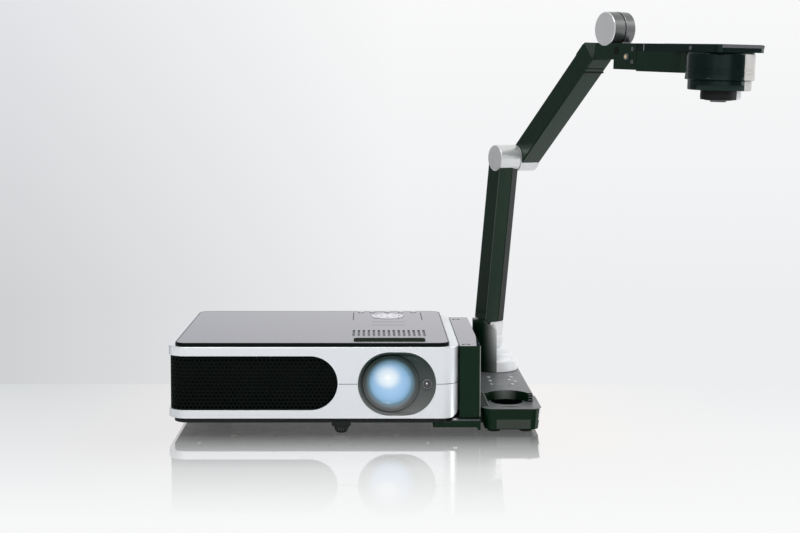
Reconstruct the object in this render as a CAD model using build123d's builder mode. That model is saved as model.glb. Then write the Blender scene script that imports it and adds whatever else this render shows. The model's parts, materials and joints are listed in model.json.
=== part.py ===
from build123d import *
import math
import os

# Video projector with a folding document camera on its right side.
# Millimetres, +Z up, +Y away from the viewer, +X to the viewer's right.
# The origin is the middle of the front foot's resting face, so the table is z = 0.
# Rest pose: lamp on, camera arm raised and swung over the right front corner.

# Projector casing
body_w = 314.0
body_d = 228.0
foot_to_mid = 30.0
foot_to_front = 15.0
corner_r = 20.0
low_corner_r = 11.0
tray_z = 12.9
tray_t = 5.0
tray_left_inset = 6.0
tray_right_inset = 9.0
tray_corner_r = 16.0
seam_z = 55.0
seam_gap = 0.6
seam_step = 1.0
casing_top_z = 95.3
lid_t = 4.1
lid_side_margin = 8.0
lid_right_margin = 10.5
lid_end_margin = 0.4
lid_corner_r = 12.0
top_edge_r = 1.2
wall = 2.5
fit_gap = 0.2

mid_x = -foot_to_mid
front_y = -foot_to_front
back_y = front_y + body_d
left_x = mid_x - body_w / 2
right_x = mid_x + body_w / 2
mid_y = front_y + body_d / 2
floor_z = tray_z + tray_t
inner_z = floor_z + wall
deck_z = casing_top_z - wall
lid_top_z = casing_top_z + lid_t

# Perforated front grille, which wraps round the left front corner
grille_low_z = 26.7
grille_high_z = 85.3
grille_end_from_mid = 26.3
grille_end_x = mid_x + grille_end_from_mid
grille_side_end = 52.0
grille_t = 1.6
grille_lip = 0.8
grille_hole_r = 2.9
grille_pitch = 8.0

grille_z = (grille_low_z + grille_high_z) / 2
grille_r = (grille_high_z - grille_low_z) / 2

# Lens bezel, lens and infrared receiver
lens_from_mid = 83.4
lens_x = mid_x + lens_from_mid
lens_z = 55.2
bezel_left_from_mid = 48.1
bezel_left_x = mid_x + bezel_left_from_mid
bezel_right_from_mid = 131.6
bezel_right_x = mid_x + bezel_right_from_mid
bezel_low_z = 21.2
bezel_high_z = 89.3
bezel_wall = 2.0
bezel_depth = 8.0
bezel_proud = 0.3
lens_ring_r = 30.4
lens_ring_w = 12.0
lens_tube_r = 26.5
lens_bore_r = 23.5
lens_tube_len = 64.5
lens_front_inset = 2.5
glass_set_back = 4.0
glass_edge_t = 3.0
glass_bulge = 3.5
turn_ring_r = 30.0
turn_ring_w = 9.0
ring_gap = 0.3
collar_w = 3.0
lever_w = 10.0
lever_h = 5.5
receiver_from_mid = 122.3
receiver_x = mid_x + receiver_from_mid
receiver_r = 5.7

bezel_z = (bezel_low_z + bezel_high_z) / 2
bezel_r = (bezel_high_z - bezel_low_z) / 2
bezel_x = (bezel_left_x + bezel_right_x) / 2
bezel_len = bezel_right_x - bezel_left_x

# Lid window over the lens rings, lid slots and the control panel
window_w = 78.0
window_from_front = 7.0
window_y0 = front_y + window_from_front
window_d = 27.0
window_r = 5.0
slot_count = 15
slot_pitch = 5.6
slot_w = 2.6
slot_len = 39.0
slot_from_front = 45.0
slot_y0 = front_y + slot_from_front
pad_from_mid = 82.0
pad_x = mid_x + pad_from_mid
pad_from_back = 43.0
pad_y = back_y - pad_from_back
nav_outer_r = 19.0
nav_inner_r = 8.0
button_rise = 0.8
button_flange = 1.2
button_flange_t = 1.4
button_travel = 0.8
cap_gap = 0.3
function_button_r = 3.6
function_row_from_back = 10.5
function_row_y = back_y - function_row_from_back
function_button_dx = (-32.0, -18.4, 0.0, 17.0, 32.0)

# Bottom of the projector
front_foot_r = 6.4
foot_stem_r = 4.5
foot_pad_t = 8.8
foot_reach = 25.0
foot_guide_wall = 2.5
release_w = 21.0
release_z0 = 9.2
release_h = 5.4
release_d = 6.5
release_inset = 1.5
release_travel = 1.5
rear_foot_r = 8.0
rear_foot_inset_x = 40.0
rear_foot_inset_y = 24.0
lamp_door_w = 96.0
lamp_door_d = 74.0
lamp_door_from_mid = 88.0
lamp_door_x = mid_x - lamp_door_from_mid
lamp_door_from_centre = 38.0
lamp_door_y = mid_y + lamp_door_from_centre
filter_door_w = 78.0
filter_door_d = 56.0
filter_door_from_mid = 86.0
filter_door_x = mid_x + filter_door_from_mid
filter_door_from_back = 62.0
filter_door_y = back_y - filter_door_from_back
door_t = 2.5
door_step = 4.0
vent_pitch = 6.0
vent_w = 2.2
ceiling_dx = 180.0
ceiling_dy = 155.0
ceiling_from_centre = 13.5
ceiling_y = mid_y + ceiling_from_centre
ceiling_hole_r = 1.65
case_screw_r = 3.0
case_screw_t = 1.6
case_screw_inset = 33.0
case_screw_end = 14.0

# Back panel
panel_w = 236.0
panel_low_z = 27.0
panel_high_z = 83.0
panel_t = 2.5
panel_x = mid_x
inlet_w = 27.0
inlet_h = 20.0
inlet_d = 22.0
inlet_from_mid = 88.0
inlet_x = mid_x - inlet_from_mid
inlet_z = 46.0
inlet_mouth_w = 24.2
inlet_mouth_h = 16.4
inlet_mouth_d = 17.0
blade_w = 2.0
blade_h = 4.0
blade_l = 14.0
blade_dx = 7.0
blade_dz = 2.6
port_z = 56.0
vga_w = 30.8
vga_shell_w = 18.3
vga_shell_h = 8.5
socket_proud = 5.6
strip_h = 15.0
strip_margin = 3.0
vga_x = (mid_x + 70.0, mid_x + 28.0)
usb_from_mid = 8.0
usb_x = mid_x - usb_from_mid
usb_mouth_w = 8.5
usb_mouth_h = 7.8
socket_d = 14.0
socket_bore = 12.0
rca_from_mid = 32.0
rca_x = mid_x - rca_from_mid
rca_r = 4.15
rca_bore_r = 1.7
jack_from_mid = 52.0
jack_x = mid_x - jack_from_mid
jack_r = 4.2
jack_bore_r = 1.8

# Inner works
fan_side = 60.0
fan_t = 20.0
fan_from_left = 61.0
fan_x = left_x + fan_from_left
fan_from_front = 24.0
fan_y = front_y + fan_from_front
fan_rotor_r = 26.5
fan_hub_r = 14.0
fan_blades = 7
fan_spindle_r = 2.0
fan_hub_t = 2.0
fan_strut_w = 4.0
fan_blade_t = 5.0
fan_blade_turn = 20.0
fan_play = 0.5
fan_tip_gap = 1.0
run_gap = 0.05
lamp_box_h = 56.0
engine_w = 92.0
engine_h = 52.0
engine_d = 58.0
board_w = 176.0
board_d = 88.0
board_t = 1.6
board_z = 78.0
board_from_mid = 48.0
board_x = mid_x + board_from_mid
board_from_back = 59.0
board_y = back_y - board_from_back
post_r = 3.0
post_inset = 6.0
supply_w = 70.0
supply_h = 40.0
supply_from_mid = 8.0
supply_x = mid_x + supply_from_mid
supply_gap = 2.0
supply_back_gap = 9.0

# Side bracket and the camera base beside it
bracket_gap = 0.5
bracket_w = 22.6
bracket_from_front = 10.0
bracket_y0 = front_y + bracket_from_front
bracket_d = body_d - 28.0
bracket_z0 = 17.3
bracket_top_z = 94.5
bracket_edge_r = 2.0
bracket_foot_inset = 3.0
recess_from_casing = 7.5
recess_from_front = 9.5
recess_from_back = 18.0
recess_len = 9.0
recess_w = 6.6
recess_drop = 1.5
recess_screw_r = 2.9
recess_screw_t = 1.2
plate_z0 = 7.0
plate_top_z = 14.5
plate_key = 3.0
plate_low_t = 2.0
plate_screw_r = 3.2
plate_screw_h = 2.0
plate_reach = 28.0
base_gap = 0.9
base_w = 59.0
base_front_w = 64.5
base_from_front = 5.0
base_y0 = front_y + base_from_front
base_d = body_d - 21.0
base_step_z = 27.0
base_top_z = 37.0
base_low_z = 4.0
base_corner_r = 12.0
base_back_r = 10.0
base_taper = 8.0
base_front_d = 75.0
base_horn_from_front = 40.0
base_horn_y = front_y + base_horn_from_front
base_rim_w = 5.0
base_wall = 3.0
recess_r = 24.5
recess_back_from_front = 55.0
recess_back_y = front_y + recess_back_from_front
rest_hole_r = 17.5
rest_hole_from_front = 44.5
rest_hole_y = front_y + rest_hole_from_front
rest_hole_floor_z = 9.0
base_pocket_wall = 8.0
base_foot_r = 7.0

bracket_x0 = right_x + bracket_gap
bracket_x1 = bracket_x0 + bracket_w
base_x0 = bracket_x1 + base_gap
base_x1 = base_x0 + base_w
base_y1 = base_y0 + base_d
bracket_y1 = bracket_y0 + bracket_d
rest_hole_from_base = 31.0
rest_hole_x = base_x0 + rest_hole_from_base
turn_from_base = 30.0
turn_x = base_x0 + turn_from_base
turn_from_base_back = 33.0
turn_y = base_y1 - turn_from_base_back
base_pocket_y = rest_hole_y + rest_hole_r + base_pocket_wall

# Camera base buttons: three on the left, four on the right
small_button_r = 2.2
small_button_rise = 0.7
left_button_from_base = 17.8
left_button_x = base_x0 + left_button_from_base
key_row_y = (turn_y - 52.5, turn_y - 73.0, turn_y - 92.5)
key_stagger = 4.8
menu_button_at = (
    (base_x0 + 44.0, key_row_y[0]),
    (base_x0 + 40.5, key_row_y[1] + key_stagger),
    (base_x0 + 46.2, key_row_y[1] - key_stagger),
    (base_x0 + 41.6, key_row_y[2]),
)

# Turntable and base pivot
swing = 26.0
disc_r = 27.0
disc_z0 = base_top_z + 0.2
disc_h = 12.8
hub_r = 20.0
hub_h = 8.0
spindle_r = 8.0
spindle_drop = 5.0
cheek_s1 = -12.0
cheek_top_z = 98.0
cheek_front = 25.0
cheek_front_r = 16.0
cheek_fin_s = -20.5
foot_room_z = 96.9
foot_room_bend = -2.0
foot_room_front = 18.8
foot_room_front_z = 87.8
pin_hole_len = 8.0
pivot_h = -6.0
pivot_z = 73.0
base_pin_r = 4.0
pin_head_r = 8.0
pin_head_t = 2.5
knuckle_s0 = -11.7
knuckle_s1 = 6.0
knuckle_r = 14.0

disc_top_z = disc_z0 + disc_h
hub_top_z = disc_top_z + hub_h

# Arm: lengths and lean, measured in the upright plane that holds it
arm_w = 25.2
arm_t = 25.2
lower_s0 = -20.0
upper_s0 = 7.5
lower_lean = 9.45
lower_len = 222.0
upper_rise = 39.57
upper_len = 224.4
top_drop = 2.0
upper_drop = 0.85
lower_foot = 25.0
elbow_r = 15.5
top_r = 18.1
top_s0 = 8.0
top_seam_s = 22.3
top_s1 = 35.0
barrel_seam = 0.5
spigot_r = 6.0
spigot_len = 12.0
upper_square_end = upper_len - 36.2
upper_cap_len = 14.0
upper_groove = 1.2
edge_r = 1.5
front_bevel_w = 9.0
front_bevel_t = 2.0
barrel_edge = 0.8

# Head arm, plate and camera head
head_dip = 2.9
head_top = 14.7
head_t = 27.0
head_step = 1.2
tongue_t = 17.2
tongue_back = 18.5
tongue_rake = 3.0
tongue_end = 17.6
lug_half = 9.0
lug_room = 12.0
lug_clear = 0.6
head_groove = 56.1
head_block_end = 133.5
head_bevel = 8.0
plate_arm_t = 7.5
plate_start = 119.2
plate_end = 200.0
plate_w = 58.0
plate_corner_r = 8.0
plate_edge_r = 1.2
head_axis = 168.5
head_body_r = 31.6
head_gap = 0.8
head_stub_r = 12.0
head_edge = 0.6
head_body_h = 24.4
head_tier_r = 29.2
head_tier_h = 10.2
focus_r = 16.8
focus_h = 9.0
eye_r = 13.0
eye_h = 10.0
eye_bulge = 1.5
head_lamp_at = 40.0
head_lamp_drop = 28.5
head_lamp_r = 3.0
head_lamp_t = 1.6

lower_s1 = lower_s0 + arm_w
upper_s1 = upper_s0 + arm_w
knee = math.radians(lower_lean)
rise = math.radians(upper_rise)
elbow_h = pivot_h + lower_len * math.sin(knee)
elbow_z = pivot_z + lower_len * math.cos(knee)
top_h = elbow_h + upper_len * math.cos(rise) + top_drop * math.sin(rise)
top_z = elbow_z + upper_len * math.sin(rise) - top_drop * math.cos(rise)

out_x = math.sin(math.radians(swing))
out_y = -math.cos(math.radians(swing))


def side_plane(s, h=0.0, z=0.0, tilt=0.0):
    """Upright plane through the arm: x runs out along it, y up, extrusion goes towards lower s."""
    across = (-out_y, out_x)
    start = (
        turn_x + out_x * h + across[0] * s,
        turn_y + out_y * h + across[1] * s,
        z,
    )
    turn = math.radians(tilt)
    along = (out_x * math.cos(turn), out_y * math.cos(turn), math.sin(turn))
    return Plane(origin=start, x_dir=along, z_dir=(out_y, -out_x, 0))


def nearest_corner(sketch, x, y):
    """The corner of a sketch that is nearest to a point of its own plane."""
    return min(sketch.vertices(), key=lambda v: math.hypot(v.X - x, v.Y - y))


def keep(part, name):
    """Names a finished piece and writes it."""
    part.part.label = name
    export_step(part.part, f"parts/{name}.step")


os.makedirs("parts", exist_ok=True)

# Outer form of the casing: the plan outline met by the front outline
def casing_form(inset, z0, z1):
    """Closed casing form, drawn in by inset, between two heights."""
    with BuildPart() as form:
        with BuildSketch(Plane.XY.offset(z0)):
            with Locations((mid_x, mid_y)):
                RectangleRounded(body_w - 2 * inset, body_d - 2 * inset, corner_r - inset)
        extrude(amount=z1 - z0)
        with BuildSketch(Plane.XZ.offset(-back_y - 1)):
            with BuildLine():
                low = floor_z + inset
                r = low_corner_r - inset
                l, m = left_x + inset, right_x - inset
                Polyline(
                    (m - r, low), (l, low), (l, casing_top_z + 1), (m, casing_top_z + 1), (m, low + r)
                )
                RadiusArc((m, low + r), (m - r, low), r)
            make_face()
        extrude(amount=body_d + 2, mode=Mode.INTERSECT)
    return form.part


def grille_opening(grow):
    """Room for the grille: a slot with a round end on the front and one on the left side."""
    r = grille_r + grow
    side_end = front_y + grille_side_end
    with BuildPart() as room:
        with BuildSketch(Plane.XZ.offset(-(front_y + corner_r))):
            with Locations(((left_x - 1 + grille_end_x - grille_r) / 2, grille_z)):
                Rectangle(grille_end_x - grille_r - left_x + 1, 2 * r)
            with Locations((grille_end_x - grille_r, grille_z)):
                Circle(r)
        extrude(amount=corner_r + 1)
        with BuildSketch(Plane.YZ.offset(left_x + corner_r)):
            with Locations(((front_y - 1 + side_end - grille_r) / 2, grille_z)):
                Rectangle(side_end - grille_r - front_y + 1, 2 * r)
            with Locations((side_end - grille_r, grille_z)):
                Circle(r)
        extrude(amount=-(corner_r + 1))
    return room.part


def bezel_room(grow, depth):
    """Stadium-shaped room behind the front face for the lens bezel."""
    with BuildPart() as room:
        with BuildSketch(Plane.XZ.offset(-(front_y + depth))):
            with Locations((bezel_x, bezel_z)):
                SlotOverall(bezel_len + 2 * grow, 2 * (bezel_r + grow))
        extrude(amount=depth + 1)
    return room.part


def panel_room(grow):
    """Opening in the back wall for the socket panel."""
    with BuildPart() as room:
        with BuildSketch(Plane.XZ.offset(-(back_y + 1))):
            with Locations((panel_x, (panel_low_z + panel_high_z) / 2)):
                Rectangle(panel_w + 2 * grow, panel_high_z - panel_low_z + 2 * grow)
        extrude(amount=wall + 2)
    return room.part


post_at = [
    (board_x + sx * (board_w / 2 - post_inset), board_y + sy * (board_d / 2 - post_inset))
    for sx in (-1, 1)
    for sy in (-1, 1)
]
ceiling_at = [
    (mid_x + sx * ceiling_dx / 2, ceiling_y + sy * ceiling_dy / 2)
    for sx in (-1, 1)
    for sy in (-1, 1)
]
door_list = [
    (lamp_door_x, lamp_door_y, lamp_door_w, lamp_door_d),
    (filter_door_x, filter_door_y, filter_door_w, filter_door_d),
]
guide_top_z = tray_z + foot_reach + foot_stem_r * 3

# Lower shell: tub with a floor, openings, foot guide and board posts
with BuildPart() as lower_shell:
    add(casing_form(0, floor_z, seam_z))
    add(casing_form(seam_step, seam_z - seam_step, seam_z + seam_gap))
    add(casing_form(wall, inner_z, seam_z + seam_step), mode=Mode.SUBTRACT)
    add(grille_opening(0), mode=Mode.SUBTRACT)
    add(bezel_room(fit_gap, corner_r / 2), mode=Mode.SUBTRACT)
    add(panel_room(fit_gap), mode=Mode.SUBTRACT)
    with BuildSketch(Plane.XY.offset(inner_z)):
        with Locations(*post_at):
            Circle(post_r)
    extrude(amount=board_z - inner_z)
    with BuildSketch(Plane.XY.offset(inner_z)):
        Circle(foot_stem_r + run_gap + foot_guide_wall)
    extrude(amount=guide_top_z - inner_z)
    with BuildSketch(Plane.XY.offset(floor_z)):
        Circle(foot_stem_r + run_gap)
        for x, y, w, d in door_list:
            with Locations((x, y)):
                Rectangle(w - 2 * door_step, d - 2 * door_step)
    extrude(amount=guide_top_z, mode=Mode.SUBTRACT)
keep(lower_shell, "lower_shell")

# Upper shell: ring and deck, with room for the rings' window, the slots and the keys
with BuildPart() as upper_shell:
    add(casing_form(0, seam_z + seam_gap, casing_top_z))
    fillet(upper_shell.faces().sort_by(Axis.Z)[-1].edges(), top_edge_r)
    add(casing_form(wall, seam_z - 1, deck_z), mode=Mode.SUBTRACT)
    add(grille_opening(0), mode=Mode.SUBTRACT)
    add(bezel_room(fit_gap, corner_r / 2), mode=Mode.SUBTRACT)
    add(panel_room(fit_gap), mode=Mode.SUBTRACT)
    with BuildSketch(Plane.XY.offset(deck_z - 1)):
        with Locations((pad_x, window_y0 + window_d / 2)):
            RectangleRounded(window_w, window_d, window_r)
        with Locations((pad_x, slot_y0 + slot_len / 2)):
            Rectangle(slot_pitch * slot_count, slot_len)
        with Locations((pad_x, pad_y)):
            Circle(nav_outer_r + button_flange + cap_gap)
        with Locations(*[(pad_x + dx, function_row_y) for dx in function_button_dx]):
            Circle(function_button_r + button_flange + cap_gap)
    extrude(amount=wall + 2, mode=Mode.SUBTRACT)
keep(upper_shell, "upper_shell")

# Lid: gloss top plate
with BuildPart() as top_lid:
    with BuildSketch(Plane.XY.offset(casing_top_z)):
        with Locations((mid_x - (lid_right_margin - lid_side_margin) / 2, mid_y)):
            RectangleRounded(
                body_w - lid_side_margin - lid_right_margin, body_d - 2 * lid_end_margin,
                lid_corner_r,
            )
    extrude(amount=lid_t)
    fillet(top_lid.faces().sort_by(Axis.Z)[-1].edges(), lid_t * 0.3)
    with BuildSketch(Plane.XY.offset(casing_top_z - 1)):
        with Locations((pad_x, window_y0 + window_d / 2)):
            RectangleRounded(window_w, window_d, window_r)
        with Locations((pad_x, slot_y0 + slot_len / 2)):
            with GridLocations(slot_pitch, 1, slot_count, 1):
                Rectangle(slot_w, slot_len)
        with Locations((pad_x, pad_y)):
            Circle(nav_outer_r + cap_gap)
        with Locations(*[(pad_x + dx, function_row_y) for dx in function_button_dx]):
            Circle(function_button_r + cap_gap)
    extrude(amount=lid_t + 2, mode=Mode.SUBTRACT)
keep(top_lid, "top_lid")

# Bottom tray: black base plate with two door openings
tray_w = body_w - tray_left_inset - tray_right_inset
with BuildPart() as bottom_tray:
    with BuildSketch(Plane.XY.offset(tray_z)):
        with Locations((left_x + tray_left_inset + tray_w / 2, mid_y)):
            RectangleRounded(tray_w, body_d - 2 * wall, tray_corner_r)
    extrude(amount=tray_t)
    with BuildSketch(Plane.XY.offset(tray_z)):
        Circle(foot_stem_r + cap_gap)
        for x, y, w, d in door_list:
            with Locations((x, y)):
                Rectangle(w - 2 * door_step, d - 2 * door_step)
        with Locations(*ceiling_at):
            Circle(ceiling_hole_r)
    extrude(amount=tray_t, mode=Mode.SUBTRACT)
    with BuildSketch(Plane.XY.offset(tray_z)):
        for x, y, w, d in door_list:
            with Locations((x, y)):
                Rectangle(w + 2 * fit_gap, d + 2 * fit_gap)
    extrude(amount=door_t, mode=Mode.SUBTRACT)
    # pocket for the foot's release lever, open at the front edge
    with BuildSketch(Plane.XY.offset(tray_z)):
        with Locations((0, front_y + release_d / 2)):
            Rectangle(release_w + 2 * cap_gap, release_d + 2 * (release_inset + release_travel))
    extrude(amount=release_z0 + release_h + cap_gap - tray_z, mode=Mode.SUBTRACT)
keep(bottom_tray, "bottom_tray")

# Perforated grille behind the opening
with BuildPart() as front_grille:
    add(casing_form(wall, grille_low_z - grille_lip, grille_high_z + grille_lip))
    add(
        casing_form(wall + grille_t, grille_low_z - 2, grille_high_z + 2),
        mode=Mode.SUBTRACT,
    )
    add(grille_opening(grille_lip), mode=Mode.INTERSECT)
    flat_x0 = left_x + corner_r
    front_columns = int((grille_end_x - grille_r - flat_x0) / grille_pitch)
    rows = int(2 * (grille_r - grille_hole_r) / grille_pitch)
    with BuildSketch(Plane.XZ.offset(-(front_y + corner_r))):
        with Locations((flat_x0 + front_columns * grille_pitch / 2, grille_z)):
            with GridLocations(grille_pitch, grille_pitch, front_columns, rows):
                Circle(grille_hole_r)
        with Locations((grille_end_x - grille_r / 2, grille_z)):
            with GridLocations(grille_pitch, grille_pitch, 2, rows // 2):
                Circle(grille_hole_r)
    extrude(amount=corner_r, mode=Mode.SUBTRACT)
    side_columns = int((grille_side_end - corner_r - grille_r / 3) / grille_pitch)
    with BuildSketch(Plane.YZ.offset(left_x)):
        with Locations((front_y + corner_r + side_columns * grille_pitch / 2, grille_z)):
            with GridLocations(grille_pitch, grille_pitch, side_columns, rows - 2):
                Circle(grille_hole_r)
    extrude(amount=corner_r, mode=Mode.SUBTRACT)
keep(front_grille, "front_grille")

# Lens bezel: shallow dish round the lens
with BuildPart() as lens_bezel:
    with BuildSketch(Plane.XZ.offset(-(front_y + bezel_depth + bezel_wall))):
        with Locations((bezel_x, bezel_z)):
            SlotOverall(bezel_len, 2 * bezel_r)
    extrude(amount=bezel_depth + bezel_wall + bezel_proud)
    with BuildSketch(Plane.XZ.offset(-(front_y + bezel_depth))):
        with Locations((bezel_x, bezel_z)):
            SlotOverall(bezel_len - 2 * bezel_wall, 2 * (bezel_r - bezel_wall))
    extrude(amount=bezel_depth + 1, mode=Mode.SUBTRACT)
    with BuildSketch(Plane.XZ.offset(-(front_y + bezel_depth + bezel_wall + 1))):
        with Locations((lens_x, lens_z)):
            Circle(lens_ring_r + cap_gap)
        with Locations((receiver_x, lens_z)):
            Circle(receiver_r + run_gap)
    extrude(amount=bezel_depth + 1, mode=Mode.SUBTRACT)
keep(lens_bezel, "lens_bezel")

# Infrared receiver: ringed button-shaped window
with BuildPart() as ir_receiver:
    with BuildSketch(Plane.XZ.offset(-(front_y + bezel_depth + bezel_wall))):
        with Locations((receiver_x, lens_z)):
            Circle(receiver_r)
    extrude(amount=bezel_wall + 1.5)
    with BuildSketch(Plane.XZ.offset(-(front_y + bezel_depth - 0.7))):
        with Locations((receiver_x, lens_z)):
            Circle(receiver_r * 0.75)
            Circle(receiver_r * 0.45, mode=Mode.SUBTRACT)
    extrude(amount=2, mode=Mode.SUBTRACT)
keep(ir_receiver, "ir_receiver")

# Lens barrel: front ring, tube that carries the two turning rings, and a collar
barrel_y0 = front_y + lens_front_inset
focus_y0 = barrel_y0 + lens_ring_w + ring_gap
zoom_y0 = focus_y0 + turn_ring_w + ring_gap
collar_y0 = zoom_y0 + turn_ring_w + ring_gap
lens_stretches = (
    (barrel_y0, lens_ring_w, lens_ring_r),
    (barrel_y0, lens_tube_len, lens_tube_r),
    (collar_y0, collar_w, turn_ring_r),
)
with BuildPart() as lens_barrel:
    for y, length, r in lens_stretches:
        with BuildSketch(Plane.XZ.offset(-(y + length))):
            with Locations((lens_x, lens_z)):
                Circle(r)
        extrude(amount=length)
    front_edge = lens_barrel.edges().filter_by(GeomType.CIRCLE).sort_by(Axis.Y)[0]
    chamfer(front_edge, 1.2)
    with BuildSketch(Plane.XZ.offset(-(barrel_y0 + lens_tube_len + 1))):
        with Locations((lens_x, lens_z)):
            Circle(lens_bore_r)
    extrude(amount=lens_tube_len + 2, mode=Mode.SUBTRACT)
    front_circles = lens_barrel.edges().filter_by(GeomType.CIRCLE).group_by(Axis.Y)[0]
    mouth_edge = front_circles.sort_by(SortBy.RADIUS)[0]
    chamfer(mouth_edge, 2.0)
keep(lens_barrel, "lens_barrel")

# Front lens element: flat behind, domed in front
glass_y = barrel_y0 + glass_set_back
with BuildPart() as front_lens:
    with BuildSketch(Plane.YZ.offset(lens_x)):
        with BuildLine():
            rim = lens_z + lens_bore_r - run_gap
            back = glass_y + glass_edge_t
            Polyline((glass_y, rim), (back, rim), (back, lens_z), (glass_y - glass_bulge, lens_z))
            chord = lens_bore_r - run_gap
            dome_r = (chord**2 + glass_bulge**2) / (2 * glass_bulge)
            RadiusArc((glass_y - glass_bulge, lens_z), (glass_y, rim), dome_r)
        make_face()
    revolve(axis=Axis((lens_x, 0, lens_z), (0, 1, 0)))
keep(front_lens, "front_lens")


def lens_turn_ring(name, y):
    """Turning ring on the lens tube with a finger lever on top."""
    with BuildPart() as ring:
        with BuildSketch(Plane.XZ.offset(-(y + turn_ring_w))):
            with Locations((lens_x, lens_z)):
                Circle(turn_ring_r)
                with Locations((0, turn_ring_r)):
                    Rectangle(lever_w, 2 * lever_h)
                Circle(lens_tube_r + run_gap, mode=Mode.SUBTRACT)
        extrude(amount=turn_ring_w)
    keep(ring, name)


lens_turn_ring("focus_ring", focus_y0)
lens_turn_ring("zoom_ring", zoom_y0)


def round_key(name, x, y, top_z, r, flange_z, flange_r, bore_r=0.0):
    """Push key that passes up through a hole, with a flange that keeps it in."""
    with BuildPart() as key:
        with BuildSketch(Plane.XY.offset(flange_z)):
            with Locations((x, y)):
                Circle(r)
        extrude(amount=top_z - flange_z)
        fillet(key.faces().sort_by(Axis.Z)[-1].edges(), 0.4)
        with BuildSketch(Plane.XY.offset(flange_z)):
            with Locations((x, y)):
                Circle(flange_r)
        extrude(amount=button_flange_t)
        if bore_r:
            with BuildSketch(Plane.XY.offset(flange_z)):
                with Locations((x, y)):
                    Circle(bore_r)
            extrude(amount=top_z - flange_z, mode=Mode.SUBTRACT)
    keep(key, name)


key_flange_z = casing_top_z - button_flange_t
key_top_z = lid_top_z + button_rise
enter_flange_z = key_flange_z - button_travel - 0.6 - button_flange_t
round_key("nav_ring", pad_x, pad_y, key_top_z, nav_outer_r, key_flange_z,
          nav_outer_r + button_flange, nav_inner_r)
round_key("enter_button", pad_x, pad_y, key_top_z, nav_inner_r - cap_gap, enter_flange_z,
          nav_inner_r + button_flange)
for number, dx in enumerate(function_button_dx, 1):
    round_key(f"function_button_{number}", pad_x + dx, function_row_y, key_top_z,
              function_button_r, key_flange_z, function_button_r + button_flange)

# Front foot: rubber-shod pad on a stem that slides out of its guide
with BuildPart() as front_foot:
    with BuildSketch():
        Circle(front_foot_r)
    extrude(amount=foot_pad_t)
    chamfer(front_foot.faces().sort_by(Axis.Z)[0].edges(), 0.6)
    with BuildSketch(Plane.XY.offset(foot_pad_t)):
        Circle(foot_stem_r)
    extrude(amount=guide_top_z - foot_pad_t)
keep(front_foot, "front_foot")

# Release lever in front of the foot
with BuildPart() as foot_release_button:
    with BuildSketch(Plane.XY.offset(release_z0)):
        with Locations((0, front_y + release_inset + release_d / 2)):
            Rectangle(release_w, release_d)
    extrude(amount=release_h)
    low_edges = foot_release_button.faces().sort_by(Axis.Z)[0].edges()
    chamfer(low_edges.filter_by(Axis.Y), 1.5)
keep(foot_release_button, "foot_release_button")

# Two fixed rear feet
with BuildPart() as rear_feet:
    with BuildSketch():
        with Locations((mid_x, back_y - rear_foot_inset_y)):
            with GridLocations(body_w - 2 * rear_foot_inset_x, 1, 2, 1):
                Circle(rear_foot_r)
    extrude(amount=tray_z)
keep(rear_feet, "rear_feet")


def bottom_door(name, x, y, w, d, vents):
    """Cover plate in the bottom tray, with air slots if it has any."""
    with BuildPart() as door:
        with BuildSketch(Plane.XY.offset(tray_z)):
            with Locations((x, y)):
                Rectangle(w, d)
                if vents:
                    with GridLocations(vent_pitch, 1, vents, 1):
                        Rectangle(vent_w, d - 4 * door_step, mode=Mode.SUBTRACT)
        extrude(amount=door_t)
    keep(door, name)


bottom_door("lamp_cover", lamp_door_x, lamp_door_y, lamp_door_w, lamp_door_d, 0)
bottom_door("filter_cover", filter_door_x, filter_door_y, filter_door_w, filter_door_d,
            int((filter_door_w - 4 * door_step) / vent_pitch))

# Back panel with openings for the mains inlet and the socket strip
strip_x0 = jack_x - jack_r - strip_margin
strip_x1 = vga_x[0] + vga_w / 2 + strip_margin
strip_x = (strip_x0 + strip_x1) / 2
strip_w = strip_x1 - strip_x0
with BuildPart() as back_panel:
    with BuildSketch(Plane.XZ.offset(-back_y)):
        with Locations((panel_x, (panel_low_z + panel_high_z) / 2)):
            Rectangle(panel_w, panel_high_z - panel_low_z)
        with Locations((inlet_x, inlet_z)):
            Rectangle(inlet_w + 2 * fit_gap, inlet_h + 2 * fit_gap, mode=Mode.SUBTRACT)
        with Locations((strip_x, port_z)):
            Rectangle(strip_w + 2 * fit_gap, strip_h + 2 * fit_gap, mode=Mode.SUBTRACT)
    extrude(amount=panel_t)
keep(back_panel, "back_panel")

# Mains inlet with three flat blades in its mouth
with BuildPart() as ac_inlet:
    with BuildSketch(Plane.XZ.offset(-back_y)):
        with Locations((inlet_x, inlet_z)):
            Rectangle(inlet_w, inlet_h)
    extrude(amount=inlet_d)
    with BuildSketch(Plane.XZ.offset(-back_y)):
        with Locations((inlet_x, inlet_z)):
            RectangleRounded(inlet_mouth_w, inlet_mouth_h, 2.0)
    extrude(amount=inlet_mouth_d, mode=Mode.SUBTRACT)
    with BuildSketch(Plane.XZ.offset(-(back_y - inlet_mouth_d))):
        with Locations((inlet_x - blade_dx, inlet_z), (inlet_x + blade_dx, inlet_z)):
            Rectangle(blade_w, blade_h)
        with Locations((inlet_x, inlet_z + blade_dz + blade_h / 2)):
            Rectangle(blade_w, blade_h)
    extrude(amount=-blade_l)
keep(ac_inlet, "ac_inlet")

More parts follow.
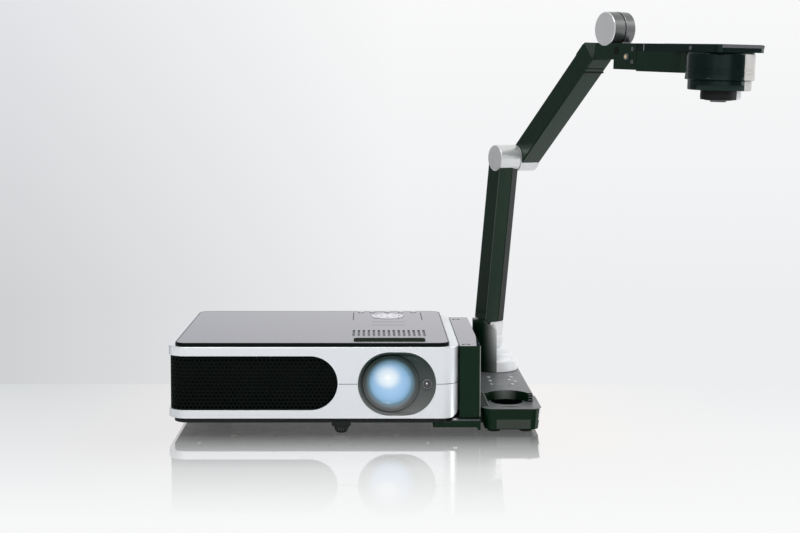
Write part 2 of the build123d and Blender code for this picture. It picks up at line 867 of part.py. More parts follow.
# Socket strip: two display connectors, a square data socket, a pin socket and a jack
with BuildPart() as av_sockets:
    with BuildSketch(Plane.XZ.offset(-back_y)):
        with Locations((strip_x, port_z)):
            Rectangle(strip_w, strip_h)
    extrude(amount=socket_d)
    with BuildSketch(Plane.XZ.offset(-back_y)):
        with Locations(*[(x, port_z) for x in vga_x]):
            SlotOverall(vga_shell_w, vga_shell_h)
        with Locations((rca_x, port_z)):
            Circle(rca_r)
    extrude(amount=-socket_proud)
    with BuildSketch(Plane.XZ.offset(-(back_y + socket_proud + 1))):
        with Locations((usb_x, port_z)):
            Rectangle(usb_mouth_w, usb_mouth_h)
        with Locations((rca_x, port_z)):
            Circle(rca_bore_r)
        with Locations((jack_x, port_z)):
            Circle(jack_bore_r)
    extrude(amount=socket_proud + 1 + socket_bore, mode=Mode.SUBTRACT)
keep(av_sockets, "av_sockets")

# Fan frame behind the grille, and its rotor
with BuildPart() as fan_frame:
    with BuildSketch(Plane.XZ.offset(-(fan_y + fan_t / 2))):
        with Locations((fan_x, inner_z + fan_side / 2)):
            RectangleRounded(fan_side, fan_side, fan_strut_w)
            Circle(fan_rotor_r + fan_tip_gap, mode=Mode.SUBTRACT)
    extrude(amount=fan_t)
    with BuildSketch(Plane.XZ.offset(-(fan_y + fan_t / 2))):
        with Locations((fan_x, inner_z + fan_side / 2)):
            Circle(fan_hub_r)
            with PolarLocations(fan_side / 4, 3, 90):
                Rectangle(fan_side / 2, fan_strut_w)
    extrude(amount=fan_hub_t)
    with BuildSketch(Plane.XZ.offset(-(fan_y + fan_t / 2 - fan_hub_t))):
        with Locations((fan_x, inner_z + fan_side / 2)):
            Circle(fan_spindle_r)
    extrude(amount=fan_t - 3 * fan_hub_t)
keep(fan_frame, "fan_frame")

with BuildPart() as fan_rotor:
    with BuildSketch(Plane.XZ.offset(-(fan_y + fan_t / 2 - fan_hub_t - fan_play))):
        with Locations((fan_x, inner_z + fan_side / 2)):
            Circle(fan_hub_r - fan_play)
            with PolarLocations((fan_rotor_r + fan_hub_r) / 2 - 1, fan_blades):
                Rectangle(fan_rotor_r - fan_hub_r + 2, fan_blade_t, rotation=fan_blade_turn)
            Circle(fan_spindle_r + run_gap, mode=Mode.SUBTRACT)
    extrude(amount=fan_t - 2 * (fan_hub_t + fan_play))
keep(fan_rotor, "fan_rotor")


def block(name, x, y, z, w, d, h):
    """Plain closed block standing on a given height."""
    with BuildPart() as body:
        with BuildSketch(Plane.XY.offset(z)):
            with Locations((x, y)):
                Rectangle(w, d)
        extrude(amount=h)
        chamfer(body.faces().sort_by(Axis.Z)[-1].edges(), 1.5)
    keep(body, name)


# Lamp module on its door, optical engine behind the lens, power supply, main board
lamp_z0 = tray_z + door_t
block("lamp_module", lamp_door_x, lamp_door_y, lamp_z0, lamp_door_w - 2 * door_step - 2 * cap_gap,
      lamp_door_d - 2 * door_step - 2 * cap_gap, lamp_box_h)
engine_y0 = barrel_y0 + lens_tube_len
supply_y0 = engine_y0 + engine_d + supply_gap
supply_d = back_y - socket_d - supply_back_gap - supply_y0
block("optical_engine", lens_x, engine_y0 + engine_d / 2, inner_z, engine_w, engine_d, engine_h)
block("power_supply", supply_x, supply_y0 + supply_d / 2, inner_z, supply_w, supply_d, supply_h)
with BuildPart() as main_board:
    with BuildSketch(Plane.XY.offset(board_z)):
        with Locations((board_x, board_y)):
            Rectangle(board_w, board_d)
    extrude(amount=board_t)
    with BuildSketch(Plane.XY.offset(board_z + board_t)):
        with Locations((board_x, board_y)):
            with GridLocations(board_w / 3, board_d / 3, 3, 2):
                Rectangle(board_w / 8, board_w / 8)
    extrude(amount=3.0)
keep(main_board, "main_board")

# Side bracket: gloss box between the projector and the camera base, open towards the casing
recess_at = (
    (bracket_x0 + recess_from_casing, bracket_y1 - recess_from_back),
    (bracket_x0 + recess_from_casing, bracket_y0 + recess_from_front),
)
with BuildPart() as side_bracket:
    with BuildSketch(Plane.XY.offset(bracket_z0)):
        with Locations(((bracket_x0 + bracket_x1) / 2, (bracket_y0 + bracket_y1) / 2)):
            Rectangle(bracket_w, bracket_d)
    extrude(amount=bracket_top_z - bracket_z0)
    fillet(side_bracket.edges().filter_by(Axis.Z).sort_by(Axis.X)[-2:], bracket_edge_r)
    top_edges = side_bracket.faces().sort_by(Axis.Z)[-1].edges()
    chamfer(top_edges, 0.5)
    with BuildSketch(Plane.YZ.offset(bracket_x0)):
        with Locations(((bracket_y0 + bracket_y1) / 2, (bracket_z0 + bracket_top_z) / 2)):
            Rectangle(bracket_d - 2 * wall, bracket_top_z - bracket_z0 - 2 * wall - 2)
    extrude(amount=bracket_w - wall, mode=Mode.SUBTRACT)
    with BuildSketch(Plane.XY.offset(bracket_top_z - recess_drop)):
        with Locations(*recess_at):
            SlotOverall(recess_len, recess_w)
    extrude(amount=2, mode=Mode.SUBTRACT)
    with BuildSketch(Plane.XY.offset(plate_top_z)):
        with Locations(((bracket_x0 + bracket_x1) / 2, (bracket_y0 + bracket_y1) / 2)):
            Rectangle(bracket_w - 2 * bracket_foot_inset, bracket_d - 2 * bracket_foot_inset)
    extrude(amount=bracket_z0 - plate_top_z)
keep(side_bracket, "side_bracket")

# Base plate: runs from under the projector, below the bracket, to under the camera base
plate_x0 = right_x - plate_reach
step_x = right_x - tray_right_inset + fit_gap
with BuildPart() as base_plate:
    with BuildSketch(Plane.XZ.offset(-base_y1)):
        with BuildLine():
            Polyline(
                (plate_x0, plate_z0), (plate_x0, tray_z), (step_x, tray_z),
                (step_x, plate_top_z), (bracket_x1, plate_top_z), (bracket_x1, base_low_z),
                (bracket_x1 - plate_key, base_low_z), (bracket_x1 - plate_key, plate_z0),
                close=True,
            )
        make_face()
    extrude(amount=base_d)
    with BuildSketch(Plane.XY.offset(base_low_z - plate_low_t)):
        with Locations(((bracket_x1 - plate_key + base_x1 - 2) / 2, (base_pocket_y + base_y1 - 5) / 2)):
            Rectangle(base_x1 - 2 - bracket_x1 + plate_key, base_y1 - 5 - base_pocket_y + 6)
    extrude(amount=plate_low_t)
keep(base_plate, "base_plate")

# Camera base: raised housing, lower front tray, concave step between them, and the lens rest
left_button_at = [(left_button_x, y) for y in key_row_y]
small_button_at = [*left_button_at, *menu_button_at]
with BuildPart() as camera_base:
    with BuildSketch(Plane.XY.offset(base_low_z)):
        with Locations(((base_x0 + base_x1) / 2, (base_horn_y + base_y1) / 2)):
            Rectangle(base_w, base_y1 - base_horn_y)
    extrude(amount=base_top_z - base_low_z)
    fillet(camera_base.edges().filter_by(Axis.Z).group_by(Axis.Y)[-1], base_back_r)
    chamfer(camera_base.faces().sort_by(Axis.Z)[-1].edges(), 0.8)
    with BuildSketch(Plane.XY.offset(base_step_z)):
        with Locations((base_x0 + 1 + base_front_w / 2, base_y0 + base_front_d / 2)):
            RectangleRounded(base_front_w, base_front_d, base_corner_r)
    extrude(amount=-(base_step_z - base_low_z), taper=base_taper)
    # rim that sweeps down from the raised part to the front tray
    with BuildSketch(Plane.YZ.offset(base_x0)):
        with BuildLine():
            Polyline((base_horn_y + 1, base_top_z - 0.8), (base_horn_y + 1, base_step_z - 1),
                     (base_y0 + base_corner_r, base_step_z - 1), close=True)
        make_face()
    extrude(amount=base_rim_w)
    with BuildSketch(Plane.XY.offset(base_step_z)):
        with Locations((rest_hole_x, recess_back_y - recess_r)):
            Circle(recess_r)
    extrude(amount=base_top_z - base_step_z + 1, mode=Mode.SUBTRACT)
    with BuildSketch(Plane.XY.offset(rest_hole_floor_z)):
        with Locations((rest_hole_x, rest_hole_y)):
            Circle(rest_hole_r)
    extrude(amount=base_step_z - rest_hole_floor_z, mode=Mode.SUBTRACT)
    with BuildSketch(Plane.XY.offset(base_low_z)):
        with Locations(((base_x0 + base_x1) / 2, (base_pocket_y + base_y1 - 8) / 2)):
            Rectangle(base_w - 2 * base_wall, base_y1 - 8 - base_pocket_y)
    extrude(amount=base_top_z - base_wall - base_low_z, mode=Mode.SUBTRACT)
    with BuildSketch(Plane.XY.offset(base_top_z - base_wall - 1)):
        with Locations((turn_x, turn_y)):
            Circle(spindle_r + run_gap)
        with Locations(*small_button_at):
            Circle(small_button_r + cap_gap)
    extrude(amount=base_wall + 2, mode=Mode.SUBTRACT)
keep(camera_base, "camera_base")

# Rubber feet of the camera base: two under the front tray, two under the plate
front_base_feet = [(base_x0 + dx, base_y0 + 18.0) for dx in (15.0, base_front_w - 15.0)]
rear_base_feet = [(base_x0 + dx, base_y1 - 22.0) for dx in (12.0, base_w - 12.0)]
with BuildPart() as base_feet:
    with BuildSketch():
        with Locations(*front_base_feet):
            Circle(base_foot_r)
    extrude(amount=base_low_z)
    with BuildSketch():
        with Locations(*rear_base_feet):
            Circle(base_foot_r)
    extrude(amount=base_low_z - plate_low_t)
keep(base_feet, "base_feet")

# Small keys on the camera base
small_flange_z = base_top_z - base_wall - button_flange_t
small_top_z = base_top_z + small_button_rise
for number, (x, y) in enumerate(left_button_at, 1):
    round_key(f"camera_button_{number}", x, y, small_top_z, small_button_r, small_flange_z,
              small_button_r + button_flange)
for number, (x, y) in enumerate(menu_button_at, 1):
    round_key(f"menu_button_{number}", x, y, small_top_z, small_button_r, small_flange_z,
              small_button_r + button_flange)

# Screws: two in the bracket's top, four under the tray, one on the base plate
plate_screw_at = (step_x + (right_x - step_x) / 2, base_y0 + 4.5)
case_screw_at = [
    (mid_x + sx * (body_w / 2 - case_screw_inset), mid_y + sy * (body_d / 2 - case_screw_end))
    for sx in (-1, 1)
    for sy in (-1, 1)
]
with BuildPart() as case_screws:
    with BuildSketch(Plane.XY.offset(bracket_top_z - recess_drop)):
        with Locations(*recess_at):
            Circle(recess_screw_r)
    extrude(amount=recess_screw_t)
    with BuildSketch(Plane.XY.offset(tray_z - case_screw_t)):
        with Locations(*case_screw_at):
            Circle(case_screw_r)
    extrude(amount=case_screw_t)
    with BuildSketch(Plane.XY.offset(plate_top_z)):
        with Locations(plate_screw_at):
            Circle(plate_screw_r)
    extrude(amount=plate_screw_h)
keep(case_screws, "case_screws")


def turn_cylinder(r, z0, z1):
    """Upright cylinder on the turntable's axis."""
    with BuildPart() as body:
        with BuildSketch(Plane.XY.offset(z0)):
            with Locations((turn_x, turn_y)):
                Circle(r)
        extrude(amount=z1 - z0)
    return body.part


turn_plan = Plane(origin=(turn_x, turn_y, disc_z0), x_dir=(out_x, out_y, 0), z_dir=(0, 0, 1))

# Turntable: disc and upper tier cut flat for the cheek, and spindle
with BuildPart() as turntable:
    add(turn_cylinder(hub_r, disc_z0, hub_top_z))
    fillet(turntable.faces().sort_by(Axis.Z)[-1].edges(), 2.0)
    add(turn_cylinder(disc_r, disc_z0, disc_top_z))
    chamfer(turntable.edges().filter_by(GeomType.CIRCLE).group_by(SortBy.RADIUS)[-1], 0.8)
    with BuildSketch(side_plane(cheek_s1 + fit_gap)):
        with Locations((0, hub_top_z / 2)):
            Rectangle(2 * disc_r + 2, 2 * hub_top_z)
    extrude(amount=disc_r, mode=Mode.SUBTRACT)
    add(turn_cylinder(spindle_r, disc_z0 - spindle_drop, disc_z0))
keep(turntable, "turntable")

# Black cheek beside the pivot: the other part of the disc's round, high and rounded at the front
with BuildPart() as pivot_cheek:
    with BuildSketch(turn_plan):
        Circle(disc_r)
        with Locations((0, cheek_s1 - disc_r)):
            Rectangle(2 * disc_r, 2 * disc_r, mode=Mode.INTERSECT)
    extrude(amount=cheek_top_z - disc_z0)
    with BuildSketch(side_plane(cheek_s1)) as cheek_side:
        with Locations(((cheek_front - disc_r) / 2, (cheek_top_z + disc_z0) / 2)):
            Rectangle(cheek_front + disc_r, cheek_top_z - disc_z0)
        fillet(nearest_corner(cheek_side, cheek_front, cheek_top_z), cheek_front_r)
    extrude(amount=disc_r, mode=Mode.INTERSECT)
    # room for the foot of the arm as it tips
    with BuildSketch(side_plane(cheek_s1)):
        with BuildLine():
            Polyline(
                (-disc_r, foot_room_z), (foot_room_bend, foot_room_z),
                (foot_room_front, foot_room_front_z), (foot_room_front, cheek_top_z),
                (-disc_r, cheek_top_z), close=True,
            )
        make_face()
    extrude(amount=cheek_s1 - cheek_fin_s, mode=Mode.SUBTRACT)
    with BuildSketch(side_plane(cheek_s1)):
        with Locations((pivot_h, pivot_z)):
            Circle(base_pin_r + run_gap)
    extrude(amount=pin_hole_len, mode=Mode.SUBTRACT)
keep(pivot_cheek, "pivot_cheek")

# Base pin: shaft through the knuckle into the cheek, with a round head
with BuildPart() as base_pin:
    with BuildSketch(side_plane(knuckle_s1 + pin_head_t + fit_gap)):
        with Locations((pivot_h, pivot_z)):
            Circle(pin_head_r)
    extrude(amount=pin_head_t)
    with BuildSketch(side_plane(knuckle_s1 + fit_gap)):
        with Locations((pivot_h, pivot_z)):
            Circle(base_pin_r)
    extrude(amount=knuckle_s1 + fit_gap - cheek_s1 + pin_hole_len)
keep(base_pin, "base_pin")


def lower_side(s):
    """Side plane with x square to the lower arm and y along it, from the base pivot."""
    return side_plane(s, pivot_h, pivot_z, -lower_lean)


# Silver knuckle at the foot of the lower arm
with BuildPart() as arm_knuckle:
    with BuildSketch(lower_side(knuckle_s1)):
        Circle(knuckle_r)
        with Locations((0, lower_foot / 2)):
            Rectangle(1.7 * knuckle_r, lower_foot)
        Circle(base_pin_r + run_gap, mode=Mode.SUBTRACT)
    extrude(amount=knuckle_s1 - knuckle_s0)
keep(arm_knuckle, "arm_knuckle")


def elbow_cylinder(r, s0, s1):
    """Cylinder on the elbow axis."""
    with BuildPart() as body:
        with BuildSketch(side_plane(s1, elbow_h, elbow_z)):
            Circle(r)
        extrude(amount=s1 - s0)
    return body.part


def top_cylinder(r, s0, s1):
    """Cylinder on the top pivot's axis."""
    with BuildPart() as body:
        with BuildSketch(side_plane(s1, top_h, top_z)):
            Circle(r)
        extrude(amount=s1 - s0)
    return body.part


# Lower arm: square tube with a bevel along its front right edge
with BuildPart() as lower_arm:
    with BuildSketch(lower_side(lower_s1)):
        with Locations((0, (lower_foot + lower_len - elbow_r / 2) / 2)):
            Rectangle(arm_t, lower_len - elbow_r / 2 - lower_foot)
    extrude(amount=arm_w)
    long_edges = lower_arm.edges().filter_by(lambda e: e.length > arm_w * 4)
    bevel_edge = long_edges.sort_by(Axis.X)[-1]
    outward = Axis((turn_x, turn_y, 0), (out_x, out_y, 0))
    long_faces = lower_arm.faces().filter_by(lambda f: f.area > 2 * arm_w * arm_t)
    front_face = long_faces.sort_by(outward)[-1]
    chamfer(bevel_edge, front_bevel_w, front_bevel_t, reference=front_face)
    other_edges = lower_arm.edges().filter_by(lambda e: e.length > arm_w * 4).sort_by(Axis.X)[:3]
    fillet(other_edges, edge_r)
    add(elbow_cylinder(elbow_r, lower_s0 - 1, upper_s1), mode=Mode.SUBTRACT)
keep(lower_arm, "lower_arm")

# Elbow barrels: the lower arm's half carries the spigot, the upper arm's half turns on it
elbow_seam_s = upper_s0 - barrel_seam / 2
with BuildPart() as elbow_barrel_lower:
    add(elbow_cylinder(elbow_r, lower_s0, elbow_seam_s - barrel_seam / 2))
    chamfer(elbow_barrel_lower.edges().filter_by(GeomType.CIRCLE), barrel_edge)
    add(elbow_cylinder(spigot_r, elbow_seam_s - barrel_seam, elbow_seam_s + spigot_len))
keep(elbow_barrel_lower, "elbow_barrel_lower")

with BuildPart() as elbow_barrel_upper:
    add(elbow_cylinder(elbow_r, elbow_seam_s + barrel_seam / 2, upper_s1))
    chamfer(elbow_barrel_upper.edges().filter_by(GeomType.CIRCLE), barrel_edge)
    add(
        elbow_cylinder(spigot_r + run_gap, elbow_seam_s, elbow_seam_s + spigot_len + cap_gap),
        mode=Mode.SUBTRACT,
    )
keep(elbow_barrel_upper, "elbow_barrel_upper")


def upper_side(s):
    """Side plane with x along the upper arm and y square to it, from the elbow."""
    return side_plane(s, elbow_h, elbow_z, upper_rise)


# Upper arm: square tube with an end cap marked off by a groove
with BuildPart() as upper_arm:
    with BuildSketch(upper_side(upper_s1)):
        with Locations(((elbow_r / 2 + upper_square_end) / 2, -upper_drop)):
            Rectangle(upper_square_end - elbow_r / 2, arm_t)
    extrude(amount=arm_w)
    fillet(upper_arm.edges().filter_by(lambda e: e.length > arm_w * 4), edge_r)
    groove_at = upper_square_end - upper_cap_len
    with BuildSketch(upper_side(upper_s1 + 1)):
        for side in (-1, 1):
            with Locations((groove_at, side * arm_t / 2 - upper_drop)):
                Rectangle(upper_groove, 2 * upper_groove)
    extrude(amount=arm_w + 2, mode=Mode.SUBTRACT)
    for outer_s in (upper_s0 + upper_groove, upper_s1 + 1):
        with BuildSketch(upper_side(outer_s)):
            with Locations((groove_at, -upper_drop)):
                Rectangle(upper_groove, arm_t + 2)
        extrude(amount=upper_groove + 1, mode=Mode.SUBTRACT)
    add(elbow_cylinder(elbow_r, upper_s0 - 1, upper_s1 + 1), mode=Mode.SUBTRACT)
keep(upper_arm, "upper_arm")

# Top barrels: the right half is on the upper arm, the left half on the head arm
right_seam_s = top_seam_s + barrel_seam
with BuildPart() as top_barrel_arm:
    add(top_cylinder(top_r, right_seam_s, top_s1))
    chamfer(top_barrel_arm.edges().filter_by(GeomType.CIRCLE), barrel_edge)
    with BuildSketch(upper_side(upper_s1 - 0.5)):
        with Locations(((upper_square_end + upper_len) / 2, -top_drop)):
            Rectangle(upper_len - upper_square_end, 2 * lug_half)
    extrude(amount=upper_s1 - 0.5 - right_seam_s)
    add(
        top_cylinder(spigot_r + run_gap, right_seam_s - 1, right_seam_s + spigot_len / 2),
        mode=Mode.SUBTRACT,
    )
keep(top_barrel_arm, "top_barrel_arm")

with BuildPart() as top_barrel_head:
    add(top_cylinder(top_r, top_s0, top_seam_s))
    chamfer(top_barrel_head.edges().filter_by(GeomType.CIRCLE), barrel_edge)
    add(top_cylinder(spigot_r, top_seam_s, right_seam_s + spigot_len / 2 - cap_gap))
keep(top_barrel_head, "top_barrel_head")


def head_side(s):
    """Side plane with x along the head arm and y square to it, from the top pivot."""
    return side_plane(s, top_h, top_z, -head_dip)


# Head arm: knuckle under the barrel, first block, groove, and the block under the plate
head_s0 = top_s0
head_s1 = head_s0 + arm_w
bar_low = -head_top - plate_arm_t
with BuildPart() as head_arm:
    with BuildSketch(head_side(head_s1)):
        with BuildLine():
            Polyline(
                (-tongue_back + tongue_rake, -head_top), (-tongue_back, -head_top - tongue_t),
                (tongue_end, -head_top - tongue_t), (tongue_end, -head_top - head_t),
                (head_groove, -head_top - head_t), (head_groove, -head_top - head_t - head_step),
                (head_block_end, -head_top - head_t - head_step), (head_block_end, bar_low),
                (head_groove, bar_low), (head_groove, -head_top), close=True,
            )
        make_face()
    extrude(amount=arm_w)
    square_up = Axis(head_side(0).origin, head_side(0).y_dir)
    forward = Axis(head_side(0).origin, head_side(0).x_dir)
    chamfer(head_arm.edges().filter_by(square_up).sort_by(forward)[-2:], head_bevel)
    # room for the upper arm's lug and barrel half, right of the seam
    with BuildSketch(head_side(head_s1 + 1)):
        with Locations(((lug_room - tongue_back - 1) / 2, -head_top - head_t / 2)):
            Rectangle(lug_room + tongue_back + 1, head_t + 2)
        Circle(top_r + lug_clear)
    extrude(amount=head_s1 + 1 - top_seam_s, mode=Mode.SUBTRACT)
    add(top_cylinder(top_r, head_s0 - 1, head_s1), mode=Mode.SUBTRACT)
keep(head_arm, "head_arm")

# Small side lamp on the head arm
with BuildPart() as head_lamp:
    with BuildSketch(head_side(head_s0)):
        with Locations((head_lamp_at, -head_lamp_drop)):
            Circle(head_lamp_r)
    extrude(amount=head_lamp_t)
    leftward = Axis(head_side(0).origin, head_side(0).z_dir)
    fillet(head_lamp.faces().sort_by(leftward)[-1].edges(), head_lamp_t * 0.5)
keep(head_lamp, "head_lamp")

# Head plate: bar over the second block, then a wide plate above the camera head
head_mid_s = (head_s0 + head_s1) / 2
bar_start = head_groove + upper_groove
with BuildPart() as head_plate:
    with BuildSketch(head_side(head_mid_s + plate_w / 2)):
        with Locations(((plate_start + plate_end) / 2, -head_top - plate_arm_t / 2)):
            Rectangle(plate_end - plate_start, plate_arm_t)
    extrude(amount=plate_w)
    square_up = Axis(head_side(0).origin, head_side(0).y_dir)
    forward = Axis(head_side(0).origin, head_side(0).x_dir)
    fillet(head_plate.edges().filter_by(square_up).sort_by(forward)[-2:], plate_corner_r)
    fillet(head_plate.faces().sort_by(square_up)[-1].edges(), plate_edge_r)
    with BuildSketch(head_side(head_s1)):
        with Locations(((bar_start + plate_start + plate_edge_r) / 2, -head_top - plate_arm_t / 2)):
            Rectangle(plate_start + plate_edge_r - bar_start, plate_arm_t)
    extrude(amount=arm_w)
keep(head_plate, "head_plate")


def head_axis_plane(up):
    """Plane square to the camera head's axis at a height above the top pivot, facing up."""
    side = head_side(head_mid_s)
    centre = side.from_local_coords((head_axis, up))
    return Plane(origin=centre, x_dir=side.x_dir, z_dir=side.y_dir)


# Camera head: stub, body and lower tier
body_top = bar_low - head_gap
tier_top = body_top - head_body_h
focus_top = tier_top - head_tier_h
with BuildPart() as camera_head:
    with BuildSketch(head_axis_plane(tier_top)):
        Circle(head_body_r)
    extrude(amount=head_body_h)
    chamfer(camera_head.edges().filter_by(GeomType.CIRCLE), head_edge)
    with BuildSketch(head_axis_plane(focus_top)):
        Circle(head_tier_r)
    extrude(amount=head_tier_h)
    with BuildSketch(head_axis_plane(body_top)):
        Circle(head_stub_r)
    extrude(amount=head_gap)
keep(camera_head, "camera_head")

with BuildPart() as camera_focus_ring:
    with BuildSketch(head_axis_plane(focus_top - ring_gap - focus_h)):
        Circle(focus_r)
        Circle(eye_r + run_gap, mode=Mode.SUBTRACT)
    extrude(amount=focus_h)
    low_edge = camera_focus_ring.edges().filter_by(GeomType.CIRCLE).group_by(Axis.Z)[0]
    chamfer(low_edge.sort_by(SortBy.RADIUS)[-1], 2.0)
keep(camera_focus_ring, "camera_focus_ring")

with BuildPart() as camera_lens:
    with BuildSketch(head_axis_plane(focus_top - eye_h)):
        Circle(eye_r)
    extrude(amount=eye_h)
    with BuildSketch(head_axis_plane(focus_top - eye_h)):
        Circle(eye_r * 0.6)
    extrude(amount=-eye_bulge)
keep(camera_lens, "camera_lens")
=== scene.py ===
import json
from math import cos, hypot, pi, radians, sin, sqrt, tan

import bmesh
import bpy
from mathutils import Matrix, Vector


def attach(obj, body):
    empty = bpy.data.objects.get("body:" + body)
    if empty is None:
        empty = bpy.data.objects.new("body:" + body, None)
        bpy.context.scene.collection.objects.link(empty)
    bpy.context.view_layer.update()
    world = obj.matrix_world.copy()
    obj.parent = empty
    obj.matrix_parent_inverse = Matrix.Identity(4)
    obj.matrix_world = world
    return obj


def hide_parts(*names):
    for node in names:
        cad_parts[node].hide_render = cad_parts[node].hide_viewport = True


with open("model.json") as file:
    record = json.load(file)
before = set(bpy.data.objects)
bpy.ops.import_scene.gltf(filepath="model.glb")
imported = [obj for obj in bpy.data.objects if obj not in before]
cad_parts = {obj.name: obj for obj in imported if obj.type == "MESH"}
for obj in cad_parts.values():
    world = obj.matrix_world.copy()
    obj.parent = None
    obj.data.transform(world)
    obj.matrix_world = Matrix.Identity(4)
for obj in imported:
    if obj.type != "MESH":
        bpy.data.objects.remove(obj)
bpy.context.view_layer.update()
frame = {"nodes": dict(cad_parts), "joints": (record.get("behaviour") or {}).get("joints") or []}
nodes = frame["nodes"]
joints = {joint["name"]: joint for joint in frame["joints"]}
scene = bpy.context.scene
MM = 0.001
RIGHTWARD = Vector((1, 0, 0))
AWAY = Vector((0, 1, 0))
UP = Vector((0, 0, 1))
PLAIN = Matrix.Identity(4)


def box_of(name):
    """Lowest and highest corner of a node of the solid model, to a tenth of a millimetre."""
    corners = nodes[name].bound_box
    low = tuple(round(min(corner[i] for corner in corners) / MM, 1) for i in range(3))
    high = tuple(round(max(corner[i] for corner in corners) / MM, 1) for i in range(3))
    return low, high


def middle_of(name):
    """Middle of a node's box, in millimetres."""
    low, high = box_of(name)
    return tuple((a + b) / 2 for a, b in zip(low, high))


def joint_place(name):
    """Point on a joint's axis, in millimetres."""
    return tuple(v / MM for v in joints[name]["pos_m"])


# Places that the frame gives, in millimetres
(LEFT_X, FRONT_Y, _), (RIGHT_X, BACK_Y, _) = box_of("lower_shell")
MID_X = (LEFT_X + RIGHT_X) / 2
LID_LOW, LID_HIGH = box_of("top_lid")
LID_Z = LID_HIGH[2]
KEY_Z = box_of("nav_ring")[1][2]
PAD_X, PAD_Y, _ = middle_of("nav_ring")
LENS_X, _, LENS_Z = joint_place("zoom_turn")
RING_Y = box_of("lens_barrel")[0][1]
BEZEL_LOW, BEZEL_HIGH = box_of("lens_bezel")
RECEIVER_X = middle_of("ir_receiver")[0]
GRILLE_LOW, GRILLE_HIGH = box_of("front_grille")
BASE_Y = box_of("camera_base")[0][1]
BRACKET_X, _, BRACKET_Z = box_of("side_bracket")[1]
PORT_Z = middle_of("av_sockets")[2]
PROUD_Y = box_of("av_sockets")[1][1]
TRAY_BOTTOM = box_of("bottom_tray")[0][2]
ACROSS = Vector(joints["base_hinge"]["axis"]).normalized()
OUT = ACROSS.cross(UP)

# Sizes of the solid model that its boxes don't show, in millimetres and degrees
CORNER_R = 20.0
SEAM_Z = 55.0
UPPER_RISE = 39.57
RECESS_X = 181.0
RECESS_Y = 15.5
RECESS_R = 24.5


# Materials
class Tree:
    """Nodes of a material or of the world, with short ways to add and join them."""

    def __init__(self, owner, coordinates="Object"):
        owner.use_nodes = True
        self.owner = owner
        self.nodes = owner.node_tree.nodes
        self.nodes.clear()
        self.coord = self.add("TexCoord").outputs[coordinates]

    def add(self, kind, inputs=None, **settings):
        """New node; each input is a value, an output, or a node for its first output."""
        node = self.nodes.new("ShaderNode" + kind)
        for key, value in settings.items():
            setattr(node, key, value)
        for key, value in (inputs or {}).items():
            socket = node.inputs[key]
            if isinstance(value, bpy.types.Node):
                value = value.outputs[0]
            if isinstance(value, bpy.types.NodeSocket):
                self.owner.node_tree.links.new(value, socket)
            elif socket.type == "RGBA":
                socket.default_value = (*value, 1)
            else:
                socket.default_value = value
        return node

    def axis(self, name):
        """One coordinate."""
        return self.add("SeparateXYZ", {"Vector": self.coord}).outputs[name]

    def noise(self, scale, detail=4.0):
        return self.add("TexNoise", {"Vector": self.coord, "Scale": scale, "Detail": detail})

    def span(self, value, low, high, start=0.3, end=0.7):
        """Maps a value between start and end to a range."""
        inputs = {"Value": value, "From Min": start, "From Max": end, "To Min": low, "To Max": high}
        return self.add("MapRange", inputs)

    def share(self, value, none, whole):
        """Share that goes from 0 at one value to 1 at another."""
        return self.span(value, 0.0, 1.0, none, whole)

    def mix(self, share, a, b, blend="MIX"):
        """Blends two colours by a share."""
        inputs = {"Factor": share, "A": a, "B": b}
        return self.add("Mix", inputs, data_type="RGBA", blend_type=blend).outputs["Result"]

    def number(self, operation, *values):
        """Result of a sum with one or two numbers."""
        return self.add("Math", dict(enumerate(values)), operation=operation)

    def vector(self, operation, *values):
        """Result of a sum with one or two vectors."""
        made = self.add("VectorMath", dict(enumerate(values)), operation=operation).outputs
        return made["Value" if operation == "LENGTH" else "Vector"]

    def reach(self, x, z, radius, wide=1.0):
        """Distance from a point of the front, as a share of a radius."""
        across = radius * wide
        moved = self.add("Mapping", {
            "Vector": self.coord,
            "Location": (-x / across, 0.0, -z / radius),
            "Scale": (1 / (across * MM), 0.0, 1 / (radius * MM)),
        })
        return self.vector("LENGTH", moved)

    def ramp(self, value, stops, interpolation="LINEAR"):
        """Colour ramp over (place, colour or grey) stops."""
        node = self.add("ValToRGB", {"Fac": value})
        band = node.color_ramp
        band.interpolation = interpolation
        while len(band.elements) < len(stops):
            band.elements.new(0.5)
        for element, (place, tone) in zip(band.elements, stops):
            element.position = place
            element.color = (*tone, 1) if isinstance(tone, tuple) else (tone, tone, tone, 1)
        return node

    def bump(self, scale, strength, depth, detail=4.0):
        """Fine grain, its depth in millimetres."""
        height = self.noise(scale, detail)
        inputs = {"Strength": strength, "Distance": depth * MM, "Height": height}
        return self.add("Bump", inputs)

    def close(self, inputs):
        """Ends the material in one shader, and gives it back."""
        self.add("OutputMaterial", {"Surface": self.add("BsdfPrincipled", inputs)})
        return self.owner


def tree_of(name):
    """Tree of a new material."""
    return Tree(bpy.data.materials.new(name))


# Rows of grain are scale, strength and depth in millimetres
FINE = (900, 0.02, 0.02)
KEY_GRAIN = (700, 0.08, 0.02)
TONE_DETAIL = 6.0
GRAIN_DETAIL = 3.0
GLOSS_DETAIL = 2.0
GLOSS_SCALE = 60.0
SOCKETS = {
    "metallic": "Metallic", "level": "Specular IOR Level", "tint": "Specular Tint", "ior": "IOR",
    "coat": "Coat Weight", "coat_rough": "Coat Roughness", "coat_tint": "Coat Tint",
}


